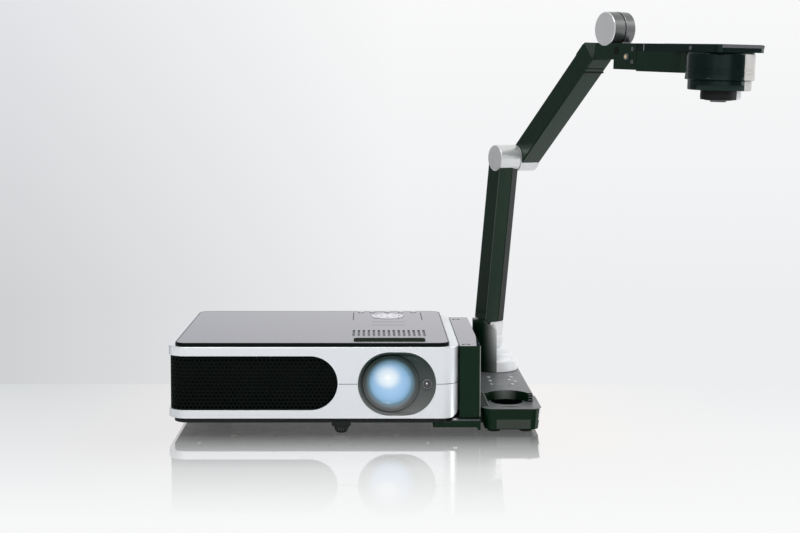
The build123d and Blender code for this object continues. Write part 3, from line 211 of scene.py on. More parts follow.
def surface(name, colour, vary, rough, grain=FINE, cloud=25.0, **more):
    """Moulded, painted or metal surface: soft tone clouds, uneven gloss and fine grain."""
    tree = tree_of(name)
    darker = tuple(c * (1 - vary) for c in colour)
    lighter = tuple(min(1.0, c * (1 + vary)) for c in colour)
    inputs = {
        "Base Color": tree.mix(tree.share(tree.noise(cloud, TONE_DETAIL), 0.3, 0.7), darker, lighter),
        "Roughness": tree.span(tree.noise(GLOSS_SCALE, GLOSS_DETAIL), *rough),
        "IOR": 1.5,
    }
    if grain:
        inputs["Normal"] = tree.bump(*grain, GRAIN_DETAIL)
    for key, value in more.items():
        inputs[SOCKETS[key]] = value
    return tree.close(inputs)


GREEN_BLACK = (0.0016, 0.0125, 0.0052)
ARM_BLACK = (0.0020, 0.0135, 0.0062)
METAL_ROUGH = (0.30, 0.32)
SATIN_ROUGH = (0.285, 0.34)
silver = surface("silver_paint", (0.86, 0.885, 0.91), 0.012, (0.295, 0.31), None, metallic=0.55)
gloss = surface("gloss_lid", (0.012, 0.012, 0.030), 0.10, (0.04, 0.07), (250, 0.008, 0.02), coat=0.45,
                coat_rough=0.03, coat_tint=(0.93, 0.93, 1.0), tint=(0.84, 0.84, 1.0))
gloss_side = surface("gloss_side", GREEN_BLACK, 0.12, (0.14, 0.20), (400, 0.02, 0.03), level=0.20,
                     tint=(0.70, 1.0, 0.80))
lid_side = surface("lid_side", (0.0016, 0.0040, 0.0028), 0.12, (0.20, 0.265), (400, 0.02, 0.04),
                   level=0.07)
# Satin top faces of the black base and plate; their grey base colour is partly painted sheen of the
# backdrop
deck_sheen_paint = surface("deck_painted_sheen", (0.135, 0.142, 0.147), 0.10, (0.36, 0.44), (900, 0.03, 0.03), level=0.9)
matte = surface("matte_black", (0.006, 0.010, 0.008), 0.15, (0.42, 0.55), (1200, 0.10, 0.04),
                level=0.22)
arm_black = surface("arm_black", ARM_BLACK, 0.15, (0.20, 0.265), (500, 0.03, 0.02), level=0.34,
                    tint=(0.76, 1.0, 0.84))
head_black = surface("head_black", (0.0014, 0.0070, 0.0056), 0.12, (0.08, 0.12), level=0.32,
                     tint=(0.72, 1.0, 0.95))
grille_black = surface("grille_black", (0.0012, 0.0034, 0.0024), 0.2, (0.40, 0.50), level=0.07)
aluminium = surface("satin_aluminium", (0.78, 0.79, 0.79), 0.03, METAL_ROUGH, None, metallic=0.6)
pale_metal = surface("pale_aluminium", (0.92, 0.93, 0.94), 0.02, METAL_ROUGH, None, metallic=0.1)
# Darker copy of the aluminium for the top barrels' turned sides: painted shade
barrel_shade_paint = surface("barrel_side_painted_shade", (0.185, 0.19, 0.19), 0.05, METAL_ROUGH, None, metallic=0.85)
# Pale satin that paints the bright highlight on the camera head's right side
head_highlight_paint = surface("head_painted_highlight", (0.53, 0.515, 0.49), 0.03, SATIN_ROUGH)
arm_band = surface("arm_band", (0.030, 0.036, 0.032), 0.10, SATIN_ROUGH, (500, 0.02, 0.02))
panel_green = surface("panel_green", (0.036, 0.048, 0.038), 0.06, (0.35, 0.45), (900, 0.03, 0.03),
                      level=0.3)
rubber = surface("rubber", (0.016, 0.017, 0.017), 0.2, (0.7, 0.85), (1200, 0.35, 0.08), level=0.3)
key_silver = surface("key_silver", (0.70, 0.71, 0.74), 0.02, (0.3, 0.38), KEY_GRAIN, metallic=0.4)
key_pale = surface("key_pale", (0.88, 0.87, 0.93), 0.02, (0.285, 0.33), (700, 0.06, 0.02))
steel = surface("zinc_steel", (0.62, 0.63, 0.65), 0.05, SATIN_ROUGH, (700, 0.05, 0.03), metallic=1.0)
board = surface("board_green", (0.03, 0.15, 0.07), 0.15, (0.3, 0.45), (700, 0.2, 0.08), cloud=90.0)
inner = surface("inner_grey", (0.25, 0.25, 0.26), 0.08, (0.5, 0.6), (900, 0.2, 0.06))
socket_grey = surface("socket_grey", (0.45, 0.45, 0.47), 0.05, (0.28, 0.4), (700, 0.1, 0.03),
                      metallic=0.9)
gold = surface("lamp_gold", (0.86, 0.68, 0.36), 0.06, (0.15, 0.22), (700, 0.05, 0.02), metallic=0.3,
               coat=0.5, coat_rough=0.05)
dark_hole = surface("dark_recess", (0.003, 0.004, 0.004), 0.2, (0.6, 0.75), (1200, 0.1, 0.05),
                    level=0.2)
rim_grey = surface("rim_grey", (0.30, 0.31, 0.31), 0.04, (0.28, 0.36), (900, 0.03, 0.02), metallic=0.3)
rim_dark = surface("slot_grey", (0.085, 0.087, 0.095), 0.08, (0.4, 0.5), (700, 0.03, 0.03))
print_dark = surface("lid_line", (0.012, 0.012, 0.014), 0.05, (0.5, 0.6), (700, 0.05, 0.02), level=0.1)
video_yellow = surface("video_yellow", (0.75, 0.52, 0.04), 0.04, (0.35, 0.45), KEY_GRAIN)
data_blue = surface("data_blue", (0.03, 0.08, 0.34), 0.05, (0.35, 0.45), KEY_GRAIN)
BEZEL_SHADE = (-32.0, 24.0)
HAZE_IN = 22.8
HAZE_OUT = 26.8


def bezel_material(name, haze):
    """Satin grey of the lens surround with painted shade, darker at the top and paler towards its lower
    edge; with haze, a painted glow round the glass.
    """
    tree = tree_of(name)
    height = tree.share(tree.axis("Z"), *((LENS_Z + z) * MM for z in BEZEL_SHADE))
    inputs = {
        "Base Color": tree.mix(height, (0.150, 0.155, 0.152), (0.017, 0.036, 0.031)),
        "Roughness": tree.span(tree.noise(60.0), 0.36, 0.46),
        "Normal": tree.bump(1800, 0.12, 0.04),
        "Specular IOR Level": 0.3,
    }
    if haze:
        near = tree.share(tree.reach(LENS_X, LENS_Z, 1.0), HAZE_OUT, HAZE_IN)
        inputs["Emission Color"] = tree.mix(near, (0, 0, 0), haze)
        inputs["Emission Strength"] = 1.0
    return tree.close(inputs)


# Both carry painted shade from top to bottom; the ring also has a painted glow of haze round the glass
bezel_grey = bezel_material("bezel_grey", None)
ring_painted_glow = bezel_material("lens_ring_painted_glow", (0.105, 0.195, 0.265))

# Lamp light in the front glass: stops from the middle to the rim
GLOW_BODY = (
    (0.0, (0.42, 0.64, 0.86)), (0.45, (0.34, 0.56, 0.82)), (0.72, (0.28, 0.49, 0.74)),
    (0.86, (0.21, 0.39, 0.57)), (0.95, (0.125, 0.235, 0.325)), (1.0, (0.110, 0.205, 0.280)),
)
GLOW_CORE = ((0.0, (0.62, 0.42, 0.16)), (0.35, (0.42, 0.30, 0.12)), (1.0, (0.0, 0.0, 0.0)))
GLOW_PLACE = (LENS_X - 0.5, LENS_Z - 0.5, 24.0)
CORE_PLACE = (LENS_X - 3.5, LENS_Z + 6.5, 15.0, 1.15)


def glow_material():
    """Lamp-lit front glass: white-blue core that fades softly to the dark rim."""
    tree = tree_of("lens_glow")
    body = tree.ramp(tree.reach(*GLOW_PLACE), GLOW_BODY)
    core = tree.ramp(tree.reach(*CORE_PLACE), GLOW_CORE, "EASE")
    return tree.close({
        "Emission Color": tree.mix(1.0, body, core, "ADD"),
        "Emission Strength": 0.95,
        "Base Color": tree.mix(tree.noise(40.0), (0.006, 0.012, 0.016), (0.010, 0.018, 0.024)),
        "Roughness": tree.span(tree.noise(70.0), 0.03, 0.06),
        "IOR": 1.5,
        "Coat Weight": 0.3,
    })


def painted_highlight_wall(tree, share, dark, light):
    """Satin wall with a painted highlight: its tone goes from dark to light by a share."""
    return tree.close({
        "Base Color": tree.mix(share, dark, light),
        "Roughness": tree.span(tree.noise(60.0), 0.285, 0.33),
        "Specular IOR Level": 0.3,
    })


# Where the painted highlights on the pivot cheek and on the lens rest's wall lie, in millimetres
CHEEK_HIGHLIGHT_X = (163.0, 182.0)
CHEEK_HIGHLIGHT_Z = (48.0, 84.0)
RECESS_HIGHLIGHT_INNER = 2.0
RECESS_HIGHLIGHT_OUTER = 13.0


def cheek_highlight_material():
    """Arm black with a painted highlight: it turns pale grey towards the rounded edge beside the pivot,
    more so higher up.
    """
    tree = tree_of("cheek_painted_highlight")
    edge = tree.share(tree.axis("X"), *(x * MM for x in CHEEK_HIGHLIGHT_X))
    height = tree.span(tree.axis("Z"), 0.30, 1.0, *(z * MM for z in CHEEK_HIGHLIGHT_Z))
    share = tree.number("MULTIPLY", tree.number("POWER", edge, 2.2), height)
    return painted_highlight_wall(tree, share, ARM_BLACK, (0.74, 0.75, 0.74))


def recess_highlight_material():
    """Green-black of the lens rest's wall, with a painted highlight that pales the middle of its back."""
    tree = tree_of("recess_painted_highlight")
    away = tree.number("ABSOLUTE", tree.number("SUBTRACT", tree.axis("X"), RECESS_X * MM))
    share = tree.share(away, RECESS_HIGHLIGHT_OUTER * MM, RECESS_HIGHLIGHT_INNER * MM)
    return painted_highlight_wall(tree, share, GREEN_BLACK, (0.145, 0.165, 0.150))


glow = glow_material()
# Painted highlight on the rounded edge of the pivot cheek
cheek_painted_highlight = cheek_highlight_material()
# Painted highlight in the middle of the lens rest's back wall
recess_painted_highlight = recess_highlight_material()
eye_glass = surface("eye_glass", (0.012, 0.016, 0.026), 0.3, (0.02, 0.05), (300, 0.01, 0.02), coat=1.0,
                    coat_rough=0.01, ior=1.7)
window_red = surface("receiver_window", (0.05, 0.045, 0.05), 0.1, (0.08, 0.14), (600, 0.03, 0.02),
                     coat=0.6, coat_rough=0.05)

# Finish of each node; keys without a row are silver
FINISHES = (
    (silver, "lower_shell upper_shell"),
    (lid_side, "top_lid"),
    (matte, "bottom_tray foot_release_button lamp_cover filter_cover back_panel ac_inlet fan_frame"),
    (matte, "fan_rotor camera_focus_ring"),
    (grille_black, "front_grille"),
    (bezel_grey, "lens_bezel ir_receiver"),
    (ring_painted_glow, "lens_barrel"),
    (glow, "front_lens"),
    (head_black, "focus_ring zoom_ring head_plate camera_head"),
    (key_pale, "nav_ring enter_button"),
    (rubber, "front_foot rear_feet base_feet"),
    (socket_grey, "av_sockets"),
    (inner, "lamp_module optical_engine power_supply"),
    (board, "main_board"),
    (gloss_side, "side_bracket base_plate camera_base"),
    (steel, "case_screws"),
    (pale_metal, "turntable base_pin arm_knuckle"),
    (cheek_painted_highlight, "pivot_cheek"),
    (arm_black, "lower_arm upper_arm head_arm"),
    (aluminium, "elbow_barrel_lower elbow_barrel_upper top_barrel_arm top_barrel_head"),
    (gold, "head_lamp"),
    (eye_glass, "camera_lens"),
)
finish_of = {name: finish for finish, names in FINISHES for name in names.split()}

# Width of each node's rounded edges, in millimetres
EDGE = 0.25
EDGES = {
    0.8: "pivot_cheek arm_knuckle", 0.6: "camera_base", 0.5: "base_plate lower_arm head_plate",
    0.4: "side_bracket bottom_tray upper_arm head_arm foot_release_button",
    0.35: "lower_shell upper_shell top_lid", 0.3: "turntable", 0.2: "av_sockets",
}
edge_of = {name: width for width, names in EDGES.items() for name in names.split()}
EDGE_ANGLE = radians(35)
FLAT_ANGLE = 0.01
WELD_REACH = 1e-6


def round_edges(obj, width):
    """Small round on the sharp edges, its width in millimetres."""
    bevel = obj.modifiers.new("bevel", "BEVEL")
    bevel.width = width * MM
    bevel.segments = 2
    bevel.limit_method = "ANGLE"
    bevel.angle_limit = EDGE_ANGLE
    return bevel


def smooth_faces(mesh):
    for polygon in mesh.polygons:
        polygon.use_smooth = True


for name, obj in nodes.items():
    finish = finish_of.get(name, key_silver)
    for slot in obj.material_slots:
        slot.material = finish
    if not obj.material_slots:
        obj.data.materials.append(finish)
    smooth_faces(obj.data)
    weld = obj.modifiers.new("weld", "WELD")
    weld.merge_threshold = WELD_REACH
    flat = obj.modifiers.new("flat", "DECIMATE")
    flat.decimate_type = "DISSOLVE"
    flat.angle_limit = FLAT_ANGLE
    round_edges(obj, edge_of.get(name, EDGE))
    even = obj.modifiers.new("even", "WEIGHTED_NORMAL")
    even.weight = 100


def repaint(name, finish, chosen):
    """Gives a second finish to the faces of a node that a test picks."""
    obj = nodes[name]
    obj.data.materials.append(finish)
    slot = len(obj.data.materials) - 1
    for polygon in obj.data.polygons:
        if chosen(polygon):
            polygon.material_index = slot


def faces_up(polygon):
    return polygon.normal.z > 0.9


def turned_side(polygon):
    """Side of a joint barrel, not its ends."""
    return abs(polygon.normal.dot(ACROSS)) < 0.5


def in_recess(polygon):
    """Back half of the wall round the lens rest, which takes the painted highlight."""
    place = polygon.center / MM
    reach = hypot(place.x - RECESS_X - 1.0, place.y - RECESS_Y)
    return place.y > RECESS_Y and abs(polygon.normal.z) < 0.2 and abs(reach - RECESS_R) < 1.2


for name, finish, chosen in (
    ("side_bracket", gloss, faces_up), ("top_lid", gloss, faces_up), ("camera_base", deck_sheen_paint, faces_up),
    ("base_plate", deck_sheen_paint, faces_up), ("camera_base", recess_painted_highlight, in_recess),
    ("top_barrel_arm", barrel_shade_paint, turned_side), ("top_barrel_head", barrel_shade_paint, turned_side),
):
    repaint(name, finish, chosen)


# Mesh helpers: all sizes are in millimetres, and a piece rides on the projector unless told otherwise
def placed(name, data):
    """New object in the scene."""
    obj = bpy.data.objects.new(name, data)
    scene.collection.objects.link(obj)
    return obj


def meshed(name, bm, material):
    """New object from a bmesh in millimetres."""
    bmesh.ops.scale(bm, vec=(MM, MM, MM), verts=bm.verts)
    bmesh.ops.recalc_face_normals(bm, faces=bm.faces)
    mesh = bpy.data.meshes.new(name)
    bm.to_mesh(mesh)
    bm.free()
    mesh.materials.append(material)
    return placed(name, mesh)


def finish_mesh(name, bm, material, body="projector", smooth=35.0, bevel=0.0):
    """Turns a bmesh into a piece that rides on a body."""
    obj = meshed(name, bm, material)
    smooth_faces(obj.data)
    obj.data.set_sharp_from_angle(angle=radians(smooth))
    if bevel:
        round_edges(obj, bevel).harden_normals = True
    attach(obj, body)
    return obj


def rings(bm, loops, start=False, end=False, closed=True, joined=False):
    """Skins vertex loops; the ends are capped, open, or joined to each other."""
    made = [[bm.verts.new(p) for p in loop] for loop in loops]
    count = len(made[0])
    following = made[1:] + made[:1] if joined else made[1:]
    for a, b in zip(made, following):
        for i in range(count if closed else count - 1):
            j = (i + 1) % count
            bm.faces.new((a[i], a[j], b[j], b[i]))
    if start:
        bm.faces.new(made[0][::-1])
    if end:
        bm.faces.new(made[-1])


def polar(x, y, reach, angle):
    """Point at a distance and an angle from another."""
    return x + reach * cos(angle), y + reach * sin(angle)


def lathe(profile, centre, axis, side, steps):
    """Loops of (radius, distance along the axis) points turned round an axis."""
    third = axis.cross(side)
    loops = []
    for r, d in profile:
        loop = []
        for k in range(steps):
            a = 2 * pi * k / steps
            loop.append(centre + axis * d + (side * cos(a) + third * sin(a)) * r)
        loops.append(loop)
    return loops


def solid(name, loops, material, slot, body="projector", smooth=35.0, bevel=0.0, start=True, end=True,
          **how):
    """Piece skinned over loops, closed at both ends unless told otherwise."""
    bm = bmesh.new()
    rings(bm, loops, start, end, **how)
    return finish_mesh(name, bm, material, body, smooth, bevel)


def turned(name, profile, centre, axis, material, slot, body="projector", matrix=PLAIN, steps=48,
           start=False, end=False, joined=False, smooth=40.0):
    """Lathe piece, in an arm's own directions if it has a matrix."""
    axis = (matrix.to_3x3() @ Vector(axis)).normalized()
    loops = lathe(profile, matrix @ Vector(centre), axis, axis.orthogonal().normalized(), steps)
    return solid(name, loops, material, slot, body, smooth, 0.0, start, end, joined=joined)


def add_box(bm, low, high, matrix=PLAIN):
    """Closed box between two corners."""
    for v in bmesh.ops.create_cube(bm, size=1.0)["verts"]:
        v.co = matrix @ Vector([low[i] + (high[i] - low[i]) * (v.co[i] + 0.5) for i in range(3)])


def block(name, low, high, material, body="projector", matrix=PLAIN, bevel=0.2):
    """Bevelled block, in an arm's own directions if it has a matrix."""
    bm = bmesh.new()
    add_box(bm, low, high, matrix)
    return finish_mesh(name, bm, material, body, bevel=bevel)


def plate(name, corners, z, thick, material, slot, body="projector", bevel=0.0):
    """Thin prism over a plan outline."""
    loops = [[Vector((x, y, h)) for x, y in corners] for h in (z, z + thick)]
    return solid(name, loops, material, slot, body, bevel=bevel)


def bar_plan(x0, y0, x1, y1, w):
    """Corners of a straight strip between two points."""
    along = Vector((x1 - x0, y1 - y0)).normalized()
    side = Vector((-along.y, along.x)) * w / 2
    return [(x0 - side.x, y0 - side.y), (x1 - side.x, y1 - side.y),
            (x1 + side.x, y1 + side.y), (x0 + side.x, y0 + side.y)]


def rect_plan(x0, y0, x1, y1):
    return [(x0, y0), (x1, y0), (x1, y1), (x0, y1)]


def rounded_plan(x0, y0, x1, y1, r, steps=8):
    """Corners of a rounded rectangle, anticlockwise from its right front corner."""
    points = []
    for cx, cy, start in ((x1 - r, y0 + r, -90), (x1 - r, y1 - r, 0), (x0 + r, y1 - r, 90),
                          (x0 + r, y0 + r, 180)):
        for k in range(steps + 1):
            a = radians(start + 90 * k / steps)
            points.append(polar(cx, cy, r, a))
    return points


def frame_strip(name, low, high, grow, r, w, z, thick, material):
    """Flat strip of an even width on a rounded rectangle that is grown past two corners."""
    corners = (low[0] - grow, low[1] - grow, high[0] + grow, high[1] + grow)
    outer = rounded_plan(*corners, r)
    inner_edge = rounded_plan(corners[0] + w, corners[1] + w, corners[2] - w, corners[3] - w, r - w)
    return solid(name, [[Vector((x, y, h)) for x, y in loop] for loop, h in (
        (outer, z), (outer, z + thick), (inner_edge, z + thick), (inner_edge, z),
    )], material, "gloss_black", smooth=30.0, start=False, end=False, joined=True)


SCREW_STEPS = 24


def screw(name, centre, axis, r, height, side=RIGHTWARD, body="projector", material=steel,
          slot="steel_screw"):
    """Pan head with a hexagon socket; the axis points out of the surface."""
    third = axis.cross(side)
    centre = Vector(centre)
    loops = []
    for share, rise, hexed in ((1.0, 0.0, False), (1.0, 0.55, False), (0.93, 0.85, False),
                               (0.78, 1.0, False), (0.5, 1.0, True), (0.46, 0.3, True)):
        loop = []
        for k in range(SCREW_STEPS):
            a = 2 * pi * k / SCREW_STEPS
            reach = share * r
            if hexed:
                reach *= cos(pi / 6) / cos(a % (pi / 3) - pi / 6)
            loop.append(centre + axis * rise * height + (side * cos(a) + third * sin(a)) * reach)
        loops.append(loop)
    return solid(name, loops, material, slot, body, 30.0)


# Front grille: a perforated sheet, and a dark sheet behind it that paints the shade inside the case,
# wrapped round the left front corner
GRILLE_LIP = 0.8
GRILLE_PITCH = 4.5
GRILLE_HOLE = 1.55
HOLE_POINTS = 12
GRILLE_STRAIGHT = GRILLE_HIGH[1] - GRILLE_LIP - FRONT_Y - CORNER_R
SHEET_DEPTH = 2.6
SHEET_THICK = 0.8
SHADE_SHEET_DEPTH = 5.5
SHADE_SHEET_LIP = 0.6
SHADE_SHEET_THICK = 0.6
SHADE_SHEET_STEPS = 60


def grille_point(u, z, depth):
    """Point of the wrapped face at a depth: u runs from the left side round the corner."""
    r = CORNER_R - depth
    turn = r * pi / 2
    if u < GRILLE_STRAIGHT:
        return Vector((LEFT_X + depth, FRONT_Y + CORNER_R + GRILLE_STRAIGHT - u, z))
    if u < GRILLE_STRAIGHT + turn:
        a = (u - GRILLE_STRAIGHT) / r
        return Vector((LEFT_X + CORNER_R - r * cos(a), FRONT_Y + CORNER_R - r * sin(a), z))
    return Vector((LEFT_X + CORNER_R + u - GRILLE_STRAIGHT - turn, FRONT_Y + depth, z))


def grille_length(depth):
    """Length of the opening along the wrapped face."""
    flat = GRILLE_HIGH[0] - GRILLE_LIP - LEFT_X - CORNER_R
    return GRILLE_STRAIGHT + (CORNER_R - depth) * pi / 2 + flat


def grille_mesh():
    """Staggered round holes, each in its own hexagon, clipped at the sheet's edges."""
    bm = bmesh.new()
    row = GRILLE_PITCH * sqrt(3) / 2
    outer = GRILLE_PITCH / sqrt(3)
    low = GRILLE_LOW[2]
    high = GRILLE_HIGH[2]
    length = grille_length(SHEET_DEPTH) + GRILLE_LIP
    seen = {}

    def vertex(u, z):
        u = min(max(u, -GRILLE_LIP), length)
        z = min(max(z, low), high)
        key = (round(u, 2), round(z, 2))
        if key not in seen:
            seen[key] = bm.verts.new(grille_point(u, z, SHEET_DEPTH))
        return seen[key]

    for j in range(int((high - low) / row) + 2):
        z = low + j * row
        for i in range(int(length / GRILLE_PITCH) + 2):
            u = (i + 0.5 * (j % 2)) * GRILLE_PITCH
            edge = []
            ring = []
            for k in range(HOLE_POINTS):
                a = pi / 6 * k + pi / 2
                reach = outer if k % 2 == 0 else outer * cos(pi / 6)
                edge.append(vertex(*polar(u, z, reach, a)))
                ring.append(vertex(*polar(u, z, GRILLE_HOLE, a)))
            for k in range(HOLE_POINTS):
                n = (k + 1) % HOLE_POINTS
                corners = list(dict.fromkeys((edge[k], edge[n], ring[n], ring[k])))
                if len(corners) > 2 and not bm.faces.get(corners):
                    bm.faces.new(corners)
    return bm


def thicken(obj, width, offset):
    """Gives a sheet its thickness."""
    thick = obj.modifiers.new("thick", "SOLIDIFY")
    thick.thickness = width * MM
    thick.offset = offset


grille = finish_mesh("grille_mesh", grille_mesh(), grille_black)
thicken(grille, SHEET_THICK, -1.0)
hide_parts("front_grille")

# Dark sheet behind the grille: painted shade of the case's inside
shade_sheet_length = grille_length(SHADE_SHEET_DEPTH) + 2 * SHADE_SHEET_LIP
shade_sheet = solid("grille_shade_sheet", [
    [grille_point(shade_sheet_length * k / SHADE_SHEET_STEPS - SHADE_SHEET_LIP, z, SHADE_SHEET_DEPTH)
     for k in range(SHADE_SHEET_STEPS + 1)]
    for z in (GRILLE_LOW[2] + GRILLE_LIP - SHADE_SHEET_LIP, GRILLE_HIGH[2] - GRILLE_LIP + SHADE_SHEET_LIP)
], dark_hole, "grille_black", start=False, end=False, closed=False)
thicken(shade_sheet, SHADE_SHEET_THICK, 0.0)


# Lens ring, its surround and the receiver
RING_PROFILE = (
    (23.5, 64.5), (26.5, 64.5), (26.5, 33.9), (30.0, 33.9), (30.0, 30.9), (26.5, 30.9),
    (26.5, 12.0), (30.4, 12.0), (30.4, 0.9), (30.2, 0.4), (29.8, 0.1), (29.2, 0.0), (28.9, 0.15),
    (28.7, 0.6), (28.3, 0.7), (28.1, 0.3), (27.7, 0.25), (27.2, 0.55), (26.2, 1.5), (25.1, 2.7),
    (24.2, 3.8), (23.7, 4.7), (23.5, 5.6),
)
ring = turned("lens_barrel_turned", RING_PROFILE, (LENS_X, RING_Y, LENS_Z), AWAY, ring_painted_glow,
              "black_plastic", steps=96, joined=True, smooth=50.0)
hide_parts("lens_barrel")

BEZEL_X = (BEZEL_LOW[0] + BEZEL_HIGH[0]) / 2
BEZEL_Z = (BEZEL_LOW[2] + BEZEL_HIGH[2]) / 2
BEZEL_R = (BEZEL_HIGH[2] - BEZEL_LOW[2]) / 2
BEZEL_HALF = (BEZEL_HIGH[0] - BEZEL_LOW[0]) / 2 - BEZEL_R
DISH_R = 30.75
DISH_DEPTH = 4.6
DISH_BACK = 10.0
DISH_STEPS = 120


def oval_loop(x, z, r, half, depth):
    """Circle at a depth behind the front, parted by half a straight stretch to each side."""
    loop = []
    for k in range(DISH_STEPS):
        a = 2 * pi * k / DISH_STEPS
        shift = half * max(-1.0, min(1.0, 3.0 * cos(a)))
        loop.append(Vector((x + shift + r * cos(a), FRONT_Y + depth, z + r * sin(a))))
    return loop


def dish_loops():
    """Rim, then a hollow that falls from the rim to the lens ring."""
    rim = ((0.0, DISH_BACK), (0.0, -0.05), (-0.25, -0.3), (-1.0, -0.3), (-1.35, -0.15), (-1.6, 0.1))
    loops = [oval_loop(BEZEL_X, BEZEL_Z, BEZEL_R + grow, BEZEL_HALF, depth) for grow, depth in rim]
    outer = loops[-1]
    bottom = oval_loop(LENS_X, LENS_Z, DISH_R, 0.0, DISH_DEPTH)
    for t in (0.12, 0.25, 0.4, 0.55, 0.7, 0.85, 1.0):
        loop = [a.lerp(b, t) for a, b in zip(outer, bottom)]
        for point, a, b in zip(loop, outer, bottom):
            point.y = a.y + (b.y - a.y) * (1 - (1 - t) ** 1.7)
        loops.append(loop)
    loops.append(oval_loop(LENS_X, LENS_Z, DISH_R, 0.0, DISH_BACK))
    return loops


dish = solid("bezel_dish", dish_loops(), bezel_grey, "black_plastic", smooth=40.0, start=False,
             end=False, joined=True)
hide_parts("lens_bezel")

RECEIVER = (RECEIVER_X, FRONT_Y, LENS_Z)
receiver = turned("receiver_rim", [
    (5.7, 8.5), (5.7, 1.3), (5.5, 1.1), (4.9, 1.0), (4.6, 1.2), (4.5, 2.0),
], RECEIVER, AWAY, bezel_grey, "black_plastic", start=True, smooth=50.0)
turned("receiver_ring", [(5.05, 1.1), (5.0, 0.75), (4.75, 0.6), (4.5, 0.75), (4.45, 1.3)], RECEIVER,
       AWAY, rim_grey, "black_plastic", smooth=60.0)
turned("receiver_window", [
    (4.55, 1.9), (4.0, 1.8), (3.4, 1.6), (2.9, 1.6), (2.7, 1.2), (2.3, 0.9), (1.6, 0.7), (0.8, 0.62),
], RECEIVER, AWAY, window_red, "gloss_black", end=True, smooth=60.0)
turned("receiver_dot", [(1.0, 0.9), (0.95, 0.45), (0.7, 0.3), (0.4, 0.22)],
       (RECEIVER_X - 0.6, FRONT_Y, LENS_Z + 0.5), AWAY, key_pale, "key_pale", steps=24, end=True,
       smooth=60.0)
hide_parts("ir_receiver")


# Lid: dark rim strip that paints the shadow gap at its edge, lens window with a pale frame that paints its
# edge highlight, slots, lines and the marks of the pad
WINDOW_LOW = (13.0, FRONT_Y + 7.0)
WINDOW_HIGH = (91.0, FRONT_Y + 34.0)
SLOTS_LOW = (9.5, FRONT_Y + 44.5)
SLOTS_HIGH = (94.5, FRONT_Y + 84.5)
MARK_SINK = 0.1
MARK_THICK = 0.14
LINE_THICK = 0.16
# Dark strip along the lid's edge: painted shadow gap
frame_strip("lid_rim_painted_shadow", LID_LOW, LID_HIGH, -0.5, 12.0, 1.2, LID_Z - 0.45, 0.5, lid_side)
# Pale ring round the window: painted highlight on its edge
frame_strip("window_frame_highlight", WINDOW_LOW, WINDOW_HIGH, 0.8, 5.8, 0.85, LID_Z - 0.3, 0.42, rim_grey)
frame_strip("window_wall", WINDOW_LOW, WINDOW_HIGH, 0.0, 5.0, 0.5, LID_Z - 4.0, 3.9, panel_green)
plate("slot_backing", rect_plan(*SLOTS_LOW, *SLOTS_HIGH), LID_Z - 1.3, 0.5, rim_dark, "black_plastic")
for number, x in enumerate((10.9, 92.6), 1):
    plate(f"lid_line_{number}", bar_plan(x, 141, x, 200, 0.9), LID_Z - MARK_SINK, LINE_THICK,
          print_dark, "gloss_black")
for number, y in enumerate((105, 128), 1):
    plate(f"lid_hairline_{number}", bar_plan(33, y, 72, y, 1.0), LID_Z - MARK_SINK, MARK_THICK, matte,
          "gloss_black")


def pad_point(angle, reach, side=0.0):
    """Point of the direction pad's top, sideways from a ray."""
    x = PAD_X + reach * cos(angle) - side * sin(angle)
    return x, PAD_Y + reach * sin(angle) + side * cos(angle)


for number in range(4):
    ray = pi / 2 * number
    groove = bar_plan(*pad_point(ray + pi / 4, 8.6), *pad_point(ray + pi / 4, 18.9), 1.3)
    arrow = [pad_point(ray, 16.2), pad_point(ray, 13.0, 2.3), pad_point(ray, 13.0, -2.3)]
    plate(f"nav_groove_{number + 1}", groove, KEY_Z - MARK_SINK, MARK_THICK, rim_grey, "key_pale",
          "nav_ring")
    plate(f"nav_arrow_{number + 1}", arrow, KEY_Z - MARK_SINK, MARK_THICK, print_dark, "key_pale",
          "nav_ring")

# Dark parting line of the two shells, left and right of the lens surround
SEAM_OUT = 0.04
SEAM_IN = 0.6
SEAM_THICK = 0.42
SEAM_LOW = SEAM_Z - SEAM_THICK / 2
SEAM_START = 102.4
SEAM_END_Y = 60.0
CORNER_POINTS = 9


def front_corner(grow):
    """Right front corner of the case, grown or drawn in."""
    return rounded_plan(LEFT_X - grow, FRONT_Y - grow, RIGHT_X + grow, BACK_Y,
                        CORNER_R + min(grow, 0.0))[:CORNER_POINTS]


plate("seam_line_right", [
    (SEAM_START, FRONT_Y - SEAM_OUT), *front_corner(SEAM_OUT), (RIGHT_X + SEAM_OUT, SEAM_END_Y),
    (RIGHT_X - SEAM_IN, SEAM_END_Y), *front_corner(-SEAM_IN)[::-1], (SEAM_START, FRONT_Y + SEAM_IN),
], SEAM_LOW, SEAM_THICK, rim_dark, "silver_shell")
plate("seam_line_middle", rect_plan(GRILLE_HIGH[0] + 0.4, FRONT_Y - SEAM_OUT, 17.3, FRONT_Y + SEAM_IN),
      SEAM_LOW, SEAM_THICK, rim_dark, "silver_shell")


# Directions of the arms: across, along and up, at points of the upright plane through the turntable
def arm_frame(joint, along):
    """Matrix of an arm's own directions at a hinge."""
    turntable = Vector(joint_place("turntable_swivel"))
    place = Vector(joint_place(joint))
    start = place - ACROSS * (place - turntable).dot(ACROSS)
    columns = Matrix((ACROSS, along, along.cross(ACROSS))).transposed().to_4x4()
    return Matrix.Translation(start) @ columns


def lean(degrees):
    """Direction in the arms' plane, this far above the level."""
    return OUT * cos(radians(degrees)) + UP * sin(radians(degrees))


HEAD_UP = -Vector(joints["camera_focus_turn"]["axis"])
knee = Vector(joint_place("elbow_hinge")) - Vector(joint_place("base_hinge"))
LOWER = arm_frame("base_hinge", (knee - ACROSS * knee.dot(ACROSS)).normalized())
UPPER = arm_frame("elbow_hinge", lean(UPPER_RISE))
HEAD = arm_frame("top_hinge", ACROSS.cross(HEAD_UP))

